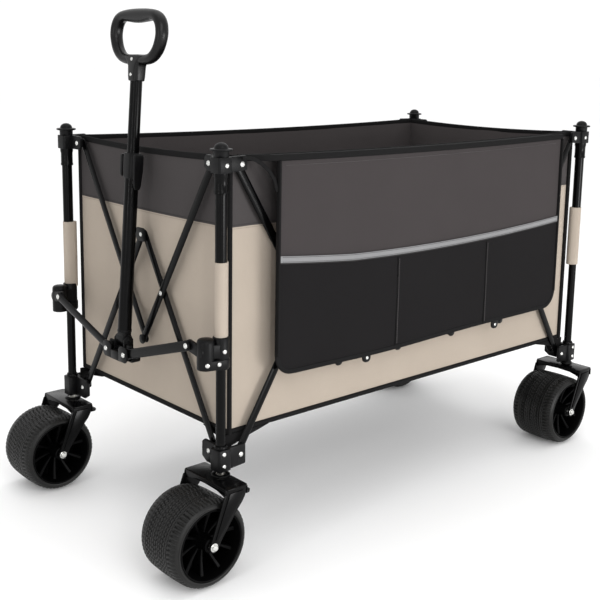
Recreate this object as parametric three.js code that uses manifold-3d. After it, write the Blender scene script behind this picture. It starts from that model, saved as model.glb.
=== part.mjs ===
// Folding four-wheel beach cart: scissor frame, fabric basket, swivel casters and telescopic handle.
// Units are millimetres, +Z up, +Y towards the rear, the origin on the floor under the middle.
import * as THREE from 'three';
import { mergeVertices } from 'three/addons/utils/BufferGeometryUtils.js';
import Module from 'manifold-3d';

// Leg grid and fold geometry
const LEG_X = 280;
const LEG_Y = 566;
const BAR_ANGLE = THREE.MathUtils.degToRad(58.3);
const PIVOT_LOW = 222;
const PIVOT_HIGH = 776;
const PIVOT_MID = (PIVOT_LOW + PIVOT_HIGH) / 2;
const FRONT_PIVOT_INSET = 41;
const SIDE_PIVOT_INSET = 40;
const FRONT_CROSSES = 2;
const SIDE_CROSSES = 5;
const BAR_WIDTH = 18;
const BAR_THICK = 6;
const BAR_GAP = 0.4;
// Inner faces of the bar layers, from the middle of the cart
const FRONT_BAR_FACE = 544;
const SIDE_BAR_FACE = 271;

// Legs and brackets
const LOWER_TUBE_R = 9.3;
const UPPER_TUBE_R = 11;
const UPPER_BORE_R = 9.8;
const UPPER_BORE_TOP = 760;
const LOWER_TUBE_TOP = 640;
const UPPER_TUBE_BOTTOM = 470;
const SLEEVE_R = 13.5;
const SLEEVE_BOTTOM = 725;
const BLOCK_HALF = 15;
const LOWER_BRACKET = { bottom: 198, top: 241, reach: 20 };
const UPPER_BRACKET = { bottom: 762, top: 791, reach: 12 };
const ARM_THICK = 7;
const SIDE_ARM_REACH = 12;
const CAP = { bottom: 802, brimR: 21, brimTop: 806, bevel: 1, domeR: 13, top: 817 };
const STEM_R = 7;

// Casters
const WHEEL_R = 85.5;
const WHEEL_WIDTH = 118;
const SHOULDER_R = 15;
const TYRE_BORE_R = 68;
const RIM_R = 67.7;
const RIM_HALF = 54;
const RIM_WALL = 5;
const WEB_HALF = 4;
const HUB_R = 15;
const HUB_HALF = 58;
const AXLE_BORE_R = 6.4;
const AXLE_R = 6;
const TRAIL = 63.5;
const FORK_HALF_WIDTH = 67;
const FORK_SHEET = 4;
const FORK_TOP = 189;
const FORK_FRONT = -37;
const FORK_BACK = 11;
const FORK_LOWER_R = 11.5;
const FORK_WAIST = { y: -6, z: 150 };
const LEVER = { x: 44, y: 18, z: 166, width: 26, depth: 22, thick: 5 };

// Basket and side panel
const BASKET_X = 268;
const BASKET_Y = 540;
const BASKET_BOTTOM = 258;
const BASKET_TOP = 792;
const BASKET_WALL = 2.5;
const BASKET_CORNER_R = 24;
const PANEL_X = 300;
const PANEL_THICK = 3;
const POCKET_THICK = 3;
const PANEL_HALF_LENGTH = 450;
const PANEL_BOTTOM = 359;
const PANEL_TOP = 784;
const POCKET_TOP = 585;
const PANEL_CORNER_R = 38;
const TAB_Y = [-204, 222];
const TAB = { width: 26, drop: 14, rise: 12 };

// Handle
const CLAMP_BOTTOM = 397;
const CLAMP_TOP = 459;
const CLAMP_R = 17;
const CLAMP_BORE_R = 9.6;
const DRUM = { radius: 16.8, x: 273, y: -595.5, bottom: 400 };
const FLANGE_TOP = 418;
const EAR_PIVOT_X = 241;
const EAR_PIVOT_Z = 441;
const EAR_BACK_Y = -605;
const EAR_THICK = 7;
const HUB_PIVOT_X = 33;
const HUB_PIVOT_Z = 374.5;
const LINK_WIDTH = 20;
const LINK_FRONT_Y = -618.6;
const LINK_THICK = 6;
const HUB_BACK_Y = -590;
const HUB_FACE_Y = -623.6;
const HUB_BOTTOM = 357;
const HUB_TOP = 391;
const HUB_NOTCH_Z = 376;
const HUB_SEAT = 8;
const HUB_CLEARANCE = 0.6;
const HUB_EAR = { from: 14, to: 19.4, front: -612, top: 408 };
const POLE_LEAN = THREE.MathUtils.degToRad(4.1);
const POLE_PIVOT = new THREE.Vector3(0, -600, 398);
const POLE_FROM = 16;
const KNUCKLE_R = 12;
const KNUCKLE_HALF = 13.4;
const POLE_R = 14;
const POLE_BORE_R = 12.4;
const POLE_TO = 378;
const COLLAR_FROM = 330;
const COLLAR_HALF_X = 22;
const COLLAR_HALF_Y = 14.5;
const INNER_R = 12;
const INNER_FROM = 150;
const SOCKET_FROM = 520;
const SOCKET_TO = 560;
const SOCKET_HALF_X = 16.5;
const SOCKET_HALF_Y = 13.5;
const GRIP_FROM = 562;
const GRIP_TO = 660;
const GRIP_HALF_WIDTH = 94;
const GRIP_FOOT_HALF = 30;
const GRIP_TUBE_R = 12;
const GRIP_STEPS = 44;

const ROUND = 20;
const WHEEL_SEGMENTS = 28;
const ORIGIN_SHIFT = TRAIL;

const wasm = await Module();
wasm.setup();

const FINISH = {
  steel: { color: 0x141415, roughness: 0.32, metalness: 0.55 },
  plastic: { color: 0x19191a, roughness: 0.55, metalness: 0.0 },
  tyre: { color: 0x2b2a28, roughness: 0.85, metalness: 0.0 },
  rim: { color: 0x1d1d1e, roughness: 0.45, metalness: 0.0 },
  canvas: { color: 0xa5998a, roughness: 0.9, metalness: 0.0 },
  pocket: { color: 0x4b4545, roughness: 0.9, metalness: 0.0 },
};

const cart = new THREE.Group();
cart.name = 'beach_cart';

// ---- solids -------------------------------------------------------------------------------------

function toManifold(geometry) {
  const bare = geometry.clone();
  bare.deleteAttribute('normal');
  bare.deleteAttribute('uv');
  const merged = mergeVertices(bare, 1e-4);
  const mesh = new wasm.Mesh({
    numProp: 3,
    vertProperties: new Float32Array(merged.attributes.position.array),
    triVerts: new Uint32Array(merged.index.array),
  });
  return new wasm.Manifold(mesh);
}

function toGeometry(solid) {
  const mesh = solid.getMesh();
  const geometry = new THREE.BufferGeometry();
  geometry.setAttribute('position', new THREE.BufferAttribute(new Float32Array(mesh.vertProperties), 3));
  geometry.setIndex(new THREE.BufferAttribute(new Uint32Array(mesh.triVerts), 1));
  const flat = geometry.toNonIndexed();
  flat.computeVertexNormals();
  return flat;
}

const join = (...parts) => toGeometry(parts.map(toManifold).reduce((a, b) => a.add(b)));
const cut = (body, ...tools) => toGeometry(tools.map(toManifold).reduce((a, b) => a.subtract(b), toManifold(body)));

function box(x0, x1, y0, y1, z0, z1) {
  const geometry = new THREE.BoxGeometry(x1 - x0, y1 - y0, z1 - z0);
  return geometry.translate((x0 + x1) / 2, (y0 + y1) / 2, (z0 + z1) / 2);
}

function upright(radius, z0, z1, x = 0, y = 0, segments = ROUND) {
  const geometry = new THREE.CylinderGeometry(radius, radius, z1 - z0, segments);
  return geometry.rotateX(Math.PI / 2).translate(x, y, (z0 + z1) / 2);
}

function crossways(radius, x0, x1, y, z, segments = ROUND) {
  const geometry = new THREE.CylinderGeometry(radius, radius, x1 - x0, segments);
  return geometry.rotateZ(Math.PI / 2).translate((x0 + x1) / 2, y, z);
}

// A lathe of [radius, height] points about Z; the points run up the outside.
function turned(points, segments) {
  const profile = points.map(([r, z]) => new THREE.Vector2(r, z));
  return new THREE.LatheGeometry(profile, segments).rotateX(Math.PI / 2);
}

// Extrudes an outline of [u, v] points by depth; u runs along X and v along Z, depth along -Y from y.
function plateXZ(shape, y, depth, steps = 4) {
  const geometry = new THREE.ExtrudeGeometry(shape, { depth, bevelEnabled: false, curveSegments: steps });
  return geometry.rotateX(Math.PI / 2).translate(0, y, 0);
}

// The same, with u along Y and v along Z, and depth along +X from x.
function plateYZ(shape, x, depth, steps = 4) {
  const geometry = new THREE.ExtrudeGeometry(shape, { depth, bevelEnabled: false, curveSegments: steps });
  const turn = new THREE.Matrix4().set(0, 0, 1, x, 1, 0, 0, 0, 0, 1, 0, 0, 0, 0, 0, 1);
  return geometry.applyMatrix4(turn);
}

// A bar's outline: two half circles of the bar's width joined by straight sides.
function barOutline([u0, v0], [u1, v1], width) {
  const angle = Math.atan2(v1 - v0, u1 - u0);
  const shape = new THREE.Shape();
  shape.absarc(u1, v1, width / 2, angle - Math.PI / 2, angle + Math.PI / 2, false);
  shape.absarc(u0, v0, width / 2, angle + Math.PI / 2, angle + Math.PI * 1.5, false);
  shape.closePath();
  return shape;
}

function roundedRect(halfX, halfY, radius) {
  const shape = new THREE.Shape();
  shape.absarc(halfX - radius, halfY - radius, radius, 0, Math.PI / 2, false);
  shape.absarc(radius - halfX, halfY - radius, radius, Math.PI / 2, Math.PI, false);
  shape.absarc(radius - halfX, radius - halfY, radius, Math.PI, Math.PI * 1.5, false);
  shape.absarc(halfX - radius, radius - halfY, radius, Math.PI * 1.5, Math.PI * 2, false);
  shape.closePath();
  return shape;
}

function slab(shape, z0, z1, steps = 6) {
  const geometry = new THREE.ExtrudeGeometry(shape, { depth: z1 - z0, bevelEnabled: false, curveSegments: steps });
  return geometry.translate(0, 0, z0);
}

function addNode(name, geometry, finish) {
  const material = new THREE.MeshStandardMaterial({ ...FINISH[finish] });
  material.name = name;
  geometry.translate(0, ORIGIN_SHIFT, 0);
  const mesh = new THREE.Mesh(geometry, material);
  mesh.name = name;
  cart.add(mesh);
}

// ---- scissor bars -------------------------------------------------------------------------------

// Half the width of a cross's outer part, and of its inner part, for a face with that many crosses.
function crossHalves(span, crosses) {
  const outer = (PIVOT_MID - PIVOT_LOW) / Math.tan(BAR_ANGLE);
  const inner = (span - 2 * outer) / (2 * (crosses - 1));
  return { outer, inner, rise: inner * Math.tan(BAR_ANGLE) };
}

// The ends of every bar of a face: [name, foot or head, other end], u from -span/2 to span/2.
function faceBars(span, crosses) {
  const { outer, inner, rise } = crossHalves(span, crosses);
  const bars = [];
  let from = -span / 2;
  for (let i = 1; i <= crosses; i += 1) {
    const first = i === 1;
    const last = i === crosses;
    const to = from + (first ? outer : inner) + (last ? outer : inner);
    const lowHere = first ? PIVOT_LOW : PIVOT_MID - rise;
    const lowNext = last ? PIVOT_LOW : PIVOT_MID - rise;
    const mirror = (z) => 2 * PIVOT_MID - z;
    bars.push([`rising_${i}`, [from, lowHere], [to, mirror(lowNext)], 1]);
    bars.push([`falling_${i}`, [from, mirror(lowHere)], [to, lowNext], 0]);
    from = to;
  }
  return bars;
}

function addEndBars(face, side) {
  for (const [name, a, b, layer] of faceBars(2 * (LEG_X - FRONT_PIVOT_INSET), FRONT_CROSSES)) {
    const near = FRONT_BAR_FACE + layer * (BAR_THICK + BAR_GAP);
    const y = side < 0 ? -near : near + BAR_THICK;
    addNode(`bar_${face}_${name}`, plateXZ(barOutline(a, b, BAR_WIDTH), y, BAR_THICK), 'steel');
  }
}

function addSideBars(face, side) {
  for (const [name, a, b, layer] of faceBars(2 * (LEG_Y - SIDE_PIVOT_INSET), SIDE_CROSSES)) {
    const near = SIDE_BAR_FACE + layer * (BAR_THICK + BAR_GAP);
    const x = side < 0 ? -near - BAR_THICK : near;
    addNode(`bar_${face}_${name}`, plateYZ(barOutline(a, b, BAR_WIDTH), x, BAR_THICK), 'steel');
  }
}

// ---- legs ---------------------------------------------------------------------------------------

// The bracket's block round the leg and the two arms outside the bars; sx and sy give the corner.
function bracket(sx, sy, { bottom: low, top: high, reach }) {
  const layers = 2 * BAR_THICK + 2 * BAR_GAP;
  const endFace = FRONT_BAR_FACE + layers;
  const sideFace = SIDE_BAR_FACE + layers;
  const block = slab(roundedRect(BLOCK_HALF, BLOCK_HALF, 5), low, high, 4).translate(sx * LEG_X, sy * LEG_Y, 0);
  const tip = LEG_X - FRONT_PIVOT_INSET - reach;
  const rear = LEG_Y - SIDE_PIVOT_INSET - SIDE_ARM_REACH;
  const order = (a, b) => [Math.min(a, b), Math.max(a, b)];
  const endArm = box(...order(sx * tip, sx * LEG_X), ...order(sy * endFace, sy * (endFace + ARM_THICK)), low, high);
  const sideArm = box(...order(sx * sideFace, sx * (sideFace + ARM_THICK)), ...order(sy * rear, sy * LEG_Y), low, high);
  return [block, endArm, sideArm];
}

function addLowerLeg(corner, sx, sy) {
  const low = LOWER_BRACKET.bottom;
  const tube = upright(LOWER_TUBE_R, low + 1, LOWER_TUBE_TOP, sx * LEG_X, sy * LEG_Y);
  const stem = upright(STEM_R, FORK_TOP + 0.3, low + 2, sx * LEG_X, sy * LEG_Y);
  addNode(`leg_lower_${corner}`, join(tube, stem, ...bracket(sx, sy, LOWER_BRACKET)), 'steel');
}

// A thin round brim with a small low dome on it.
function capProfile() {
  const { bottom, brimR, brimTop, bevel, domeR, top } = CAP;
  const points = [[0, bottom], [brimR - bevel, bottom], [brimR, bottom + bevel], [brimR, brimTop - bevel],
    [brimR - bevel, brimTop], [domeR, brimTop]];
  for (let i = 1; i <= 4; i += 1) {
    const angle = (i / 4) * (Math.PI / 2);
    points.push([i === 4 ? 0 : domeR * Math.cos(angle), brimTop + (top - brimTop) * Math.sin(angle)]);
  }
  return points;
}

function addUpperLeg(corner, sx, sy) {
  const x = sx * LEG_X;
  const y = sy * LEG_Y;
  const tube = upright(UPPER_TUBE_R, UPPER_TUBE_BOTTOM, PIVOT_HIGH, x, y);
  const sleeve = upright(SLEEVE_R, SLEEVE_BOTTOM, PIVOT_HIGH, x, y);
  const neck = upright(BLOCK_HALF, PIVOT_HIGH, CAP.bottom + 1, x, y);
  const cap = turned(capProfile(), ROUND).translate(x, y, 0);
  const outside = join(tube, sleeve, neck, cap, ...bracket(sx, sy, UPPER_BRACKET));
  const bore = upright(UPPER_BORE_R, UPPER_TUBE_BOTTOM - 5, UPPER_BORE_TOP, x, y);
  addNode(`leg_upper_${corner}`, cut(outside, bore), 'steel');
}

// ---- casters ------------------------------------------------------------------------------------

function arcPoints(cx, cy, radius, from, to, steps) {
  const points = [];
  for (let i = 0; i <= steps; i += 1) {
    const angle = from + ((to - from) * i) / steps;
    points.push([cx + radius * Math.cos(angle), cy + radius * Math.sin(angle)]);
  }
  return points;
}

function wheelAt(points, x, y) {
  return turned(points, WHEEL_SEGMENTS).rotateY(Math.PI / 2).translate(x, y - TRAIL, WHEEL_R);
}

function tyreProfile() {
  const half = WHEEL_WIDTH / 2;
  const inner = WHEEL_R - SHOULDER_R;
  const low = arcPoints(inner, SHOULDER_R - half, SHOULDER_R, -Math.PI / 2, 0, 3);
  const high = arcPoints(inner, half - SHOULDER_R, SHOULDER_R, 0, Math.PI / 2, 3);
  const start = [TYRE_BORE_R, -half];
  return [start, ...low, ...high, [TYRE_BORE_R, half], start];
}

function rimProfile() {
  const barrel = RIM_R - RIM_WALL;
  const start = [AXLE_BORE_R, -HUB_HALF];
  const below = [[HUB_R, -HUB_HALF], [HUB_R, -WEB_HALF], [barrel, -WEB_HALF], [barrel, -RIM_HALF], [RIM_R, -RIM_HALF]];
  const above = below.map(([r, z]) => [r, -z]).reverse();
  return [start, ...below, ...above, [AXLE_BORE_R, HUB_HALF], start];
}

// One side of the fork: a cheek that narrows from the plate's edge down and forward to the axle.
function forkSide(y) {
  const axle = [y - TRAIL, WHEEL_R];
  const shape = new THREE.Shape();
  shape.moveTo(y + FORK_BACK, FORK_TOP);
  shape.lineTo(y + FORK_FRONT, FORK_TOP);
  shape.absarc(axle[0], axle[1], FORK_LOWER_R, Math.PI * 0.93, Math.PI * 1.85, false);
  shape.quadraticCurveTo(y + FORK_WAIST.y, FORK_WAIST.z, y + FORK_BACK, FORK_TOP - FORK_SHEET);
  shape.closePath();
  return shape;
}

function addFork(corner, sx, sy) {
  const x = sx * LEG_X;
  const y = sy * LEG_Y;
  const wide = FORK_HALF_WIDTH;
  const plate = box(x - wide, x + wide, y + FORK_FRONT, y + FORK_BACK, FORK_TOP - FORK_SHEET, FORK_TOP);
  const left = plateYZ(forkSide(y), x - wide, FORK_SHEET);
  const right = plateYZ(forkSide(y), x + wide - FORK_SHEET, FORK_SHEET);
  const axle = crossways(AXLE_R, x - wide - 4, x + wide + 4, y - TRAIL, WHEEL_R);
  addNode(`fork_${corner}`, join(plate, left, right, axle), 'steel');
}

function addWheel(corner, sx, sy) {
  addNode(`tyre_${corner}`, wheelAt(tyreProfile(), sx * LEG_X, sy * LEG_Y), 'tyre');
  addNode(`rim_${corner}`, wheelAt(rimProfile(), sx * LEG_X, sy * LEG_Y), 'rim');
}

function addBrake(corner, sx, sy) {
  const x = sx * LEG_X + LEVER.x;
  const y = sy * LEG_Y + LEVER.y;
  const half = LEVER.width / 2;
  const pad = box(x - half, x + half, y - LEVER.depth / 2, y + LEVER.depth / 2, LEVER.z, LEVER.z + LEVER.thick);
  addNode(`brake_lever_${corner}`, pad, 'plastic');
}

// ---- fabric -------------------------------------------------------------------------------------

function addBasket() {
  const outer = slab(roundedRect(BASKET_X, BASKET_Y, BASKET_CORNER_R), BASKET_BOTTOM, BASKET_TOP);
  const inside = roundedRect(BASKET_X - BASKET_WALL, BASKET_Y - BASKET_WALL, BASKET_CORNER_R - BASKET_WALL);
  const hollow = slab(inside, BASKET_BOTTOM + BASKET_WALL, BASKET_TOP + 5);
  addNode('basket', cut(outer, hollow), 'canvas');
}

// A panel from bottom to top with its two lower corners rounded.
function panelShape(top) {
  const half = PANEL_HALF_LENGTH;
  const r = PANEL_CORNER_R;
  const shape = new THREE.Shape();
  shape.moveTo(half, top);
  shape.lineTo(-half, top);
  shape.absarc(r - half, PANEL_BOTTOM + r, r, Math.PI, Math.PI * 1.5, false);
  shape.absarc(half - r, PANEL_BOTTOM + r, r, Math.PI * 1.5, Math.PI * 2, false);
  shape.closePath();
  return shape;
}

function addSidePanel() {
  const sheet = plateYZ(panelShape(PANEL_TOP), PANEL_X, PANEL_THICK);
  const pocket = plateYZ(panelShape(POCKET_TOP), PANEL_X + PANEL_THICK - 1, POCKET_THICK + 1);
  const tabs = TAB_Y.map((y) => {
    const half = TAB.width / 2;
    return box(PANEL_X + 1, PANEL_X + PANEL_THICK + POCKET_THICK + 2, y - half, y + half,
      PANEL_BOTTOM - TAB.drop, PANEL_BOTTOM + TAB.rise);
  });
  addNode('side_panel', join(sheet, pocket, ...tabs), 'pocket');
}

// ---- handle -------------------------------------------------------------------------------------

// The clamp round a front leg: a collar, a drum ahead of it, the flange under both and the link's ear.
function addClamp(name, sx) {
  const x = sx * LEG_X;
  const drumX = sx * DRUM.x;
  const collar = upright(CLAMP_R, CLAMP_BOTTOM, CLAMP_TOP, x, -LEG_Y);
  const drum = upright(DRUM.radius, DRUM.bottom, CLAMP_TOP, drumX, DRUM.y);
  const bridge = box(x - 8, x + 8, DRUM.y, -LEG_Y, CLAMP_BOTTOM + 4, CLAMP_TOP - 10);
  const flange = box(x - CLAMP_R, x + CLAMP_R, DRUM.y, -LEG_Y, DRUM.bottom, FLANGE_TOP);
  const outline = barOutline([sx * EAR_PIVOT_X, EAR_PIVOT_Z], [drumX, EAR_PIVOT_Z - 6], LINK_WIDTH);
  const ear = plateXZ(outline, EAR_BACK_Y, EAR_THICK);
  const bore = upright(CLAMP_BORE_R, CLAMP_BOTTOM - 5, CLAMP_TOP + 5, x, -LEG_Y);
  addNode(name, cut(join(collar, drum, bridge, flange, ear), bore), 'plastic');
}

function addLink(name, sx) {
  const outline = barOutline([sx * EAR_PIVOT_X, EAR_PIVOT_Z], [sx * HUB_PIVOT_X, HUB_PIVOT_Z], LINK_WIDTH);
  addNode(name, plateXZ(outline, LINK_FRONT_Y + LINK_THICK, LINK_THICK), 'steel');
}

// The hub: two plates with the links' ends between them, a core that joins them and the pole's two ears.
function addHandleHub() {
  const wide = HUB_PIVOT_X + 12;
  const linkBack = LINK_FRONT_Y + LINK_THICK + HUB_CLEARANCE;
  const linkFront = LINK_FRONT_Y - HUB_CLEARANCE;
  const back = box(-wide, wide, linkBack, HUB_BACK_Y, HUB_BOTTOM, HUB_NOTCH_Z + HUB_SEAT);
  const core = box(-HUB_EAR.to, HUB_EAR.to, HUB_FACE_Y, HUB_BACK_Y, HUB_BOTTOM, HUB_NOTCH_Z);
  const sides = [-1, 1].flatMap((side) => {
    const [near, far] = [side * HUB_EAR.from, side * HUB_EAR.to].sort((a, b) => a - b);
    const [left, right] = [side * HUB_EAR.from, side * wide].sort((a, b) => a - b);
    return [
      box(near, far, HUB_EAR.front, HUB_BACK_Y, HUB_BOTTOM + 2, HUB_EAR.top),
      box(left, right, HUB_FACE_Y, linkFront, HUB_BOTTOM, HUB_TOP),
      box(left, right, linkBack, HUB_BACK_Y, HUB_BOTTOM, HUB_TOP),
    ];
  });
  addNode('handle_hub', join(back, core, ...sides), 'plastic');
}

// Stands a solid made along Z on the pole's pivot, leaning back with the pole.
const onPole = (geometry) => geometry.rotateX(-POLE_LEAN).translate(POLE_PIVOT.x, POLE_PIVOT.y, POLE_PIVOT.z);

function addPoles() {
  const knuckle = crossways(KNUCKLE_R, -KNUCKLE_HALF, KNUCKLE_HALF, 0, 0);
  const neck = box(-KNUCKLE_HALF, KNUCKLE_HALF, -10, 10, 0, POLE_FROM + 2);
  const tube = upright(POLE_R, POLE_FROM, POLE_TO);
  const collar = slab(roundedRect(COLLAR_HALF_X, COLLAR_HALF_Y, 14), COLLAR_FROM, POLE_TO + 1, 5);
  const bore = upright(POLE_BORE_R, POLE_FROM + 8, POLE_TO + 5);
  addNode('pole_outer', onPole(cut(join(knuckle, neck, tube, collar), bore)), 'steel');
  addNode('pole_inner', onPole(upright(INNER_R, INNER_FROM, SOCKET_FROM - 0.3)), 'steel');
}

// The hand loop's middle line: a flat foot, upright ends with round corners and a slightly bowed top.
function gripPath() {
  const wide = GRIP_HALF_WIDTH - GRIP_TUBE_R;
  const top = GRIP_TO - GRIP_TUBE_R;
  const low = GRIP_FROM;
  const half = [[GRIP_FOOT_HALF, low], [wide * 0.66, low + 3], [wide * 0.9, low + 16], [wide, low + 40],
    [wide * 0.95, top - 20], [wide * 0.78, top - 4], [wide * 0.42, top - 1]];
  const left = half.map(([x, z]) => [-x, z]);
  const points = [[0, low], ...half, [0, top], ...left.reverse()];
  return new THREE.CatmullRomCurve3(points.map(([x, z]) => new THREE.Vector3(x, 0, z)), true, 'centripetal');
}

// A closed tube of the given radius along a closed path in the plane y = 0.
function loopTube(path, radius, steps, sides) {
  const positions = [];
  const faces = [];
  for (let i = 0; i < steps; i += 1) {
    const centre = path.getPointAt(i / steps);
    const along = path.getTangentAt(i / steps);
    for (let k = 0; k < sides; k += 1) {
      const angle = (k / sides) * Math.PI * 2;
      const across = radius * Math.cos(angle);
      positions.push(centre.x + along.z * across, radius * Math.sin(angle), centre.z - along.x * across);
      const [a, b] = [i * sides + k, i * sides + ((k + 1) % sides)];
      const [c, d] = [(a + sides) % (steps * sides), (b + sides) % (steps * sides)];
      faces.push(a, b, c, b, d, c);
    }
  }
  const geometry = new THREE.BufferGeometry();
  geometry.setAttribute('position', new THREE.Float32BufferAttribute(positions, 3));
  geometry.setIndex(faces);
  return geometry;
}

function addGrip() {
  const loop = loopTube(gripPath(), GRIP_TUBE_R, GRIP_STEPS, ROUND);
  const socket = slab(roundedRect(SOCKET_HALF_X, SOCKET_HALF_Y, 8), SOCKET_FROM, SOCKET_TO, 4);
  addNode('grip', onPole(join(loop, socket)), 'plastic');
}

// ---- assembly -----------------------------------------------------------------------------------

const CORNERS = [['front_left', -1, -1], ['front_right', 1, -1], ['rear_left', -1, 1], ['rear_right', 1, 1]];

for (const [corner, sx, sy] of CORNERS) {
  addLowerLeg(corner, sx, sy);
  addUpperLeg(corner, sx, sy);
  addFork(corner, sx, sy);
  addWheel(corner, sx, sy);
  if (sy < 0) {
    addBrake(corner, sx, sy);
  }
}
addEndBars('front', -1);
addEndBars('rear', 1);
addSideBars('left', -1);
addSideBars('right', 1);
addBasket();
addSidePanel();
addClamp('handle_clamp_left', -1);
addClamp('handle_clamp_right', 1);
addLink('handle_link_left', -1);
addLink('handle_link_right', 1);
addHandleHub();
addPoles();
addGrip();

export default cart;
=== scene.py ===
"""Beach cart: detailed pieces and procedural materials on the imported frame."""
import math
import bpy
import bmesh
from mathutils import Matrix, Vector, noise


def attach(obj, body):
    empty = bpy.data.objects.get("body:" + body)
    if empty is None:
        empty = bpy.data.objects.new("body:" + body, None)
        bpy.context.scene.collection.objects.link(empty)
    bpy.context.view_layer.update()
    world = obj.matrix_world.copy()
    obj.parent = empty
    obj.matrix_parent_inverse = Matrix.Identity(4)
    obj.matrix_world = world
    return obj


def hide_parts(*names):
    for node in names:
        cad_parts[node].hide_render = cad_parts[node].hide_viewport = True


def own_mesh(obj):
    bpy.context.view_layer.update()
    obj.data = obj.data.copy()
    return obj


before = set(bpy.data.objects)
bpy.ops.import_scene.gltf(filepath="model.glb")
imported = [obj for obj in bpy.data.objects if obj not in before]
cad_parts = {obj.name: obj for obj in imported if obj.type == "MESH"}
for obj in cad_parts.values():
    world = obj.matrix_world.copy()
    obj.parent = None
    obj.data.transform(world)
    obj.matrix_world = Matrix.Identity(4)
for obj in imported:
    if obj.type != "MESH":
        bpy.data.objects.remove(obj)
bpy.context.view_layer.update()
MM = 0.001
SHIFT = 63.5          # the row frame's origin lies this far ahead of the legs' middle, in mm
LEG_X, LEG_Y = 280.0, 566.0
PIVOT_LOW, PIVOT_HIGH, PIVOT_MID = 222.0, 776.0, 499.0
CORNERS = [("front_left", -1, -1), ("front_right", 1, -1), ("rear_left", -1, 1), ("rear_right", 1, 1)]
LEG_BODY = {"front_left": "frame", "front_right": "leg_front_right",
            "rear_left": "leg_rear_left", "rear_right": "leg_rear_right"}


def P(x, y, z):
    """A point in mm about the legs' middle, as metres in the row frame."""
    return Vector((x * MM, (y + SHIFT) * MM, z * MM))


# ---------------------------------------------------------------- camera
CAMERA_AT = P(1725.9, -1667.8, 978.2)
CAMERA_TURN = (48.92, 10.40, 0.79)       # degrees round, up and rolled
CAMERA_LENS, CAMERA_SENSOR = 61.038, 36.0
CAMERA_SHIFT = (0.021667, -0.103333)


def aim_camera():
    az, el, roll = (math.radians(a) for a in CAMERA_TURN)
    back = Vector((math.sin(az) * math.cos(el), -math.cos(az) * math.cos(el), math.sin(el)))
    right = Vector((math.cos(az), math.sin(az), 0))
    up = back.cross(right)
    right_r = right * math.cos(roll) + up * math.sin(roll)
    up_r = up * math.cos(roll) - right * math.sin(roll)
    data = bpy.data.cameras.new("camera")
    cam = bpy.data.objects.new("camera", data)
    bpy.context.scene.collection.objects.link(cam)
    turn = Matrix((right_r, up_r, back)).transposed().to_4x4()
    cam.matrix_world = Matrix.Translation(CAMERA_AT) @ turn
    data.sensor_width = CAMERA_SENSOR
    data.lens = CAMERA_LENS
    data.shift_x, data.shift_y = CAMERA_SHIFT
    data.clip_start = 0.05
    data.clip_end = 60.0
    bpy.context.scene.camera = cam


aim_camera()


# ---------------------------------------------------------------- materials
class Nodes:
    """A material's node tree with short helpers."""

    def __init__(self, name, base, rough, metal=0.0, **sockets):
        self.mat = bpy.data.materials.new(name)
        self.mat.use_nodes = True
        self.tree = self.mat.node_tree
        self.bsdf = self.tree.nodes["Principled BSDF"]
        self.bsdf.inputs["Base Color"].default_value = (*base, 1)
        self.bsdf.inputs["Roughness"].default_value = rough
        self.bsdf.inputs["Metallic"].default_value = metal
        for key, value in sockets.items():
            self.bsdf.inputs[key.replace("_", " ")].default_value = value
        self.coord = self.new("ShaderNodeTexCoord").outputs["Object"]
        self.base = base
        self.rough = rough

    def new(self, kind, **props):
        node = self.tree.nodes.new(kind)
        for key, value in props.items():
            setattr(node, key, value)
        return node

    def link(self, a, b):
        self.tree.links.new(a, b)

    def math(self, op, a, b=0.0, c=0.0):
        node = self.new("ShaderNodeMath", operation=op)
        for socket, value in zip(node.inputs, (a, b, c)):
            if isinstance(value, (int, float)):
                socket.default_value = value
            else:
                self.link(value, socket)
        return node.outputs[0]

    def noise(self, scale, detail=3.0, rough=0.5, vector=None):
        node = self.new("ShaderNodeTexNoise")
        node.inputs["Scale"].default_value = scale
        node.inputs["Detail"].default_value = detail
        node.inputs["Roughness"].default_value = rough
        self.link(vector or self.coord, node.inputs["Vector"])
        return node.outputs["Fac"]

    def ramp(self, fac, stops):
        node = self.new("ShaderNodeValToRGB")
        while len(node.color_ramp.elements) < len(stops):
            node.color_ramp.elements.new(0.5)
        for element, (pos, colour) in zip(node.color_ramp.elements, stops):
            element.position = pos
            element.color = (*colour, 1)
        self.link(fac, node.inputs["Fac"])
        return node.outputs["Color"]

    def remap(self, fac, low, high, to_low, to_high):
        node = self.new("ShaderNodeMapRange")
        for key, value in zip(("From Min", "From Max", "To Min", "To Max"), (low, high, to_low, to_high)):
            node.inputs[key].default_value = value
        self.link(fac, node.inputs["Value"])
        return node.outputs["Result"]

    def bump(self, height, strength, distance):
        node = self.new("ShaderNodeBump")
        node.inputs["Strength"].default_value = strength
        node.inputs["Distance"].default_value = distance
        self.link(height, node.inputs["Height"])
        self.link(node.outputs["Normal"], self.bsdf.inputs["Normal"])

    def tint(self, fac, spread):
        """Base colour varied by fac, 0 to 1, by plus or minus spread."""
        low = tuple(c * (1 - spread) for c in self.base)
        high = tuple(min(1.0, c * (1 + spread)) for c in self.base)
        self.link(self.ramp(fac, [(0.3, low), (0.7, high)]), self.bsdf.inputs["Base Color"])


def painted(name, base, rough, coat):
    m = Nodes(name, base, rough, Specular_IOR_Level=0.075, Coat_Weight=coat, Coat_Roughness=0.12)
    grime = m.noise(9.0, 4.0)
    orange_peel = m.noise(900.0, 2.0)
    m.tint(grime, 0.22)
    m.link(m.remap(grime, 0.3, 0.7, rough * 0.8, rough * 1.25), m.bsdf.inputs["Roughness"])
    m.bump(orange_peel, 0.12, 0.0004)
    return m.mat


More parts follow.
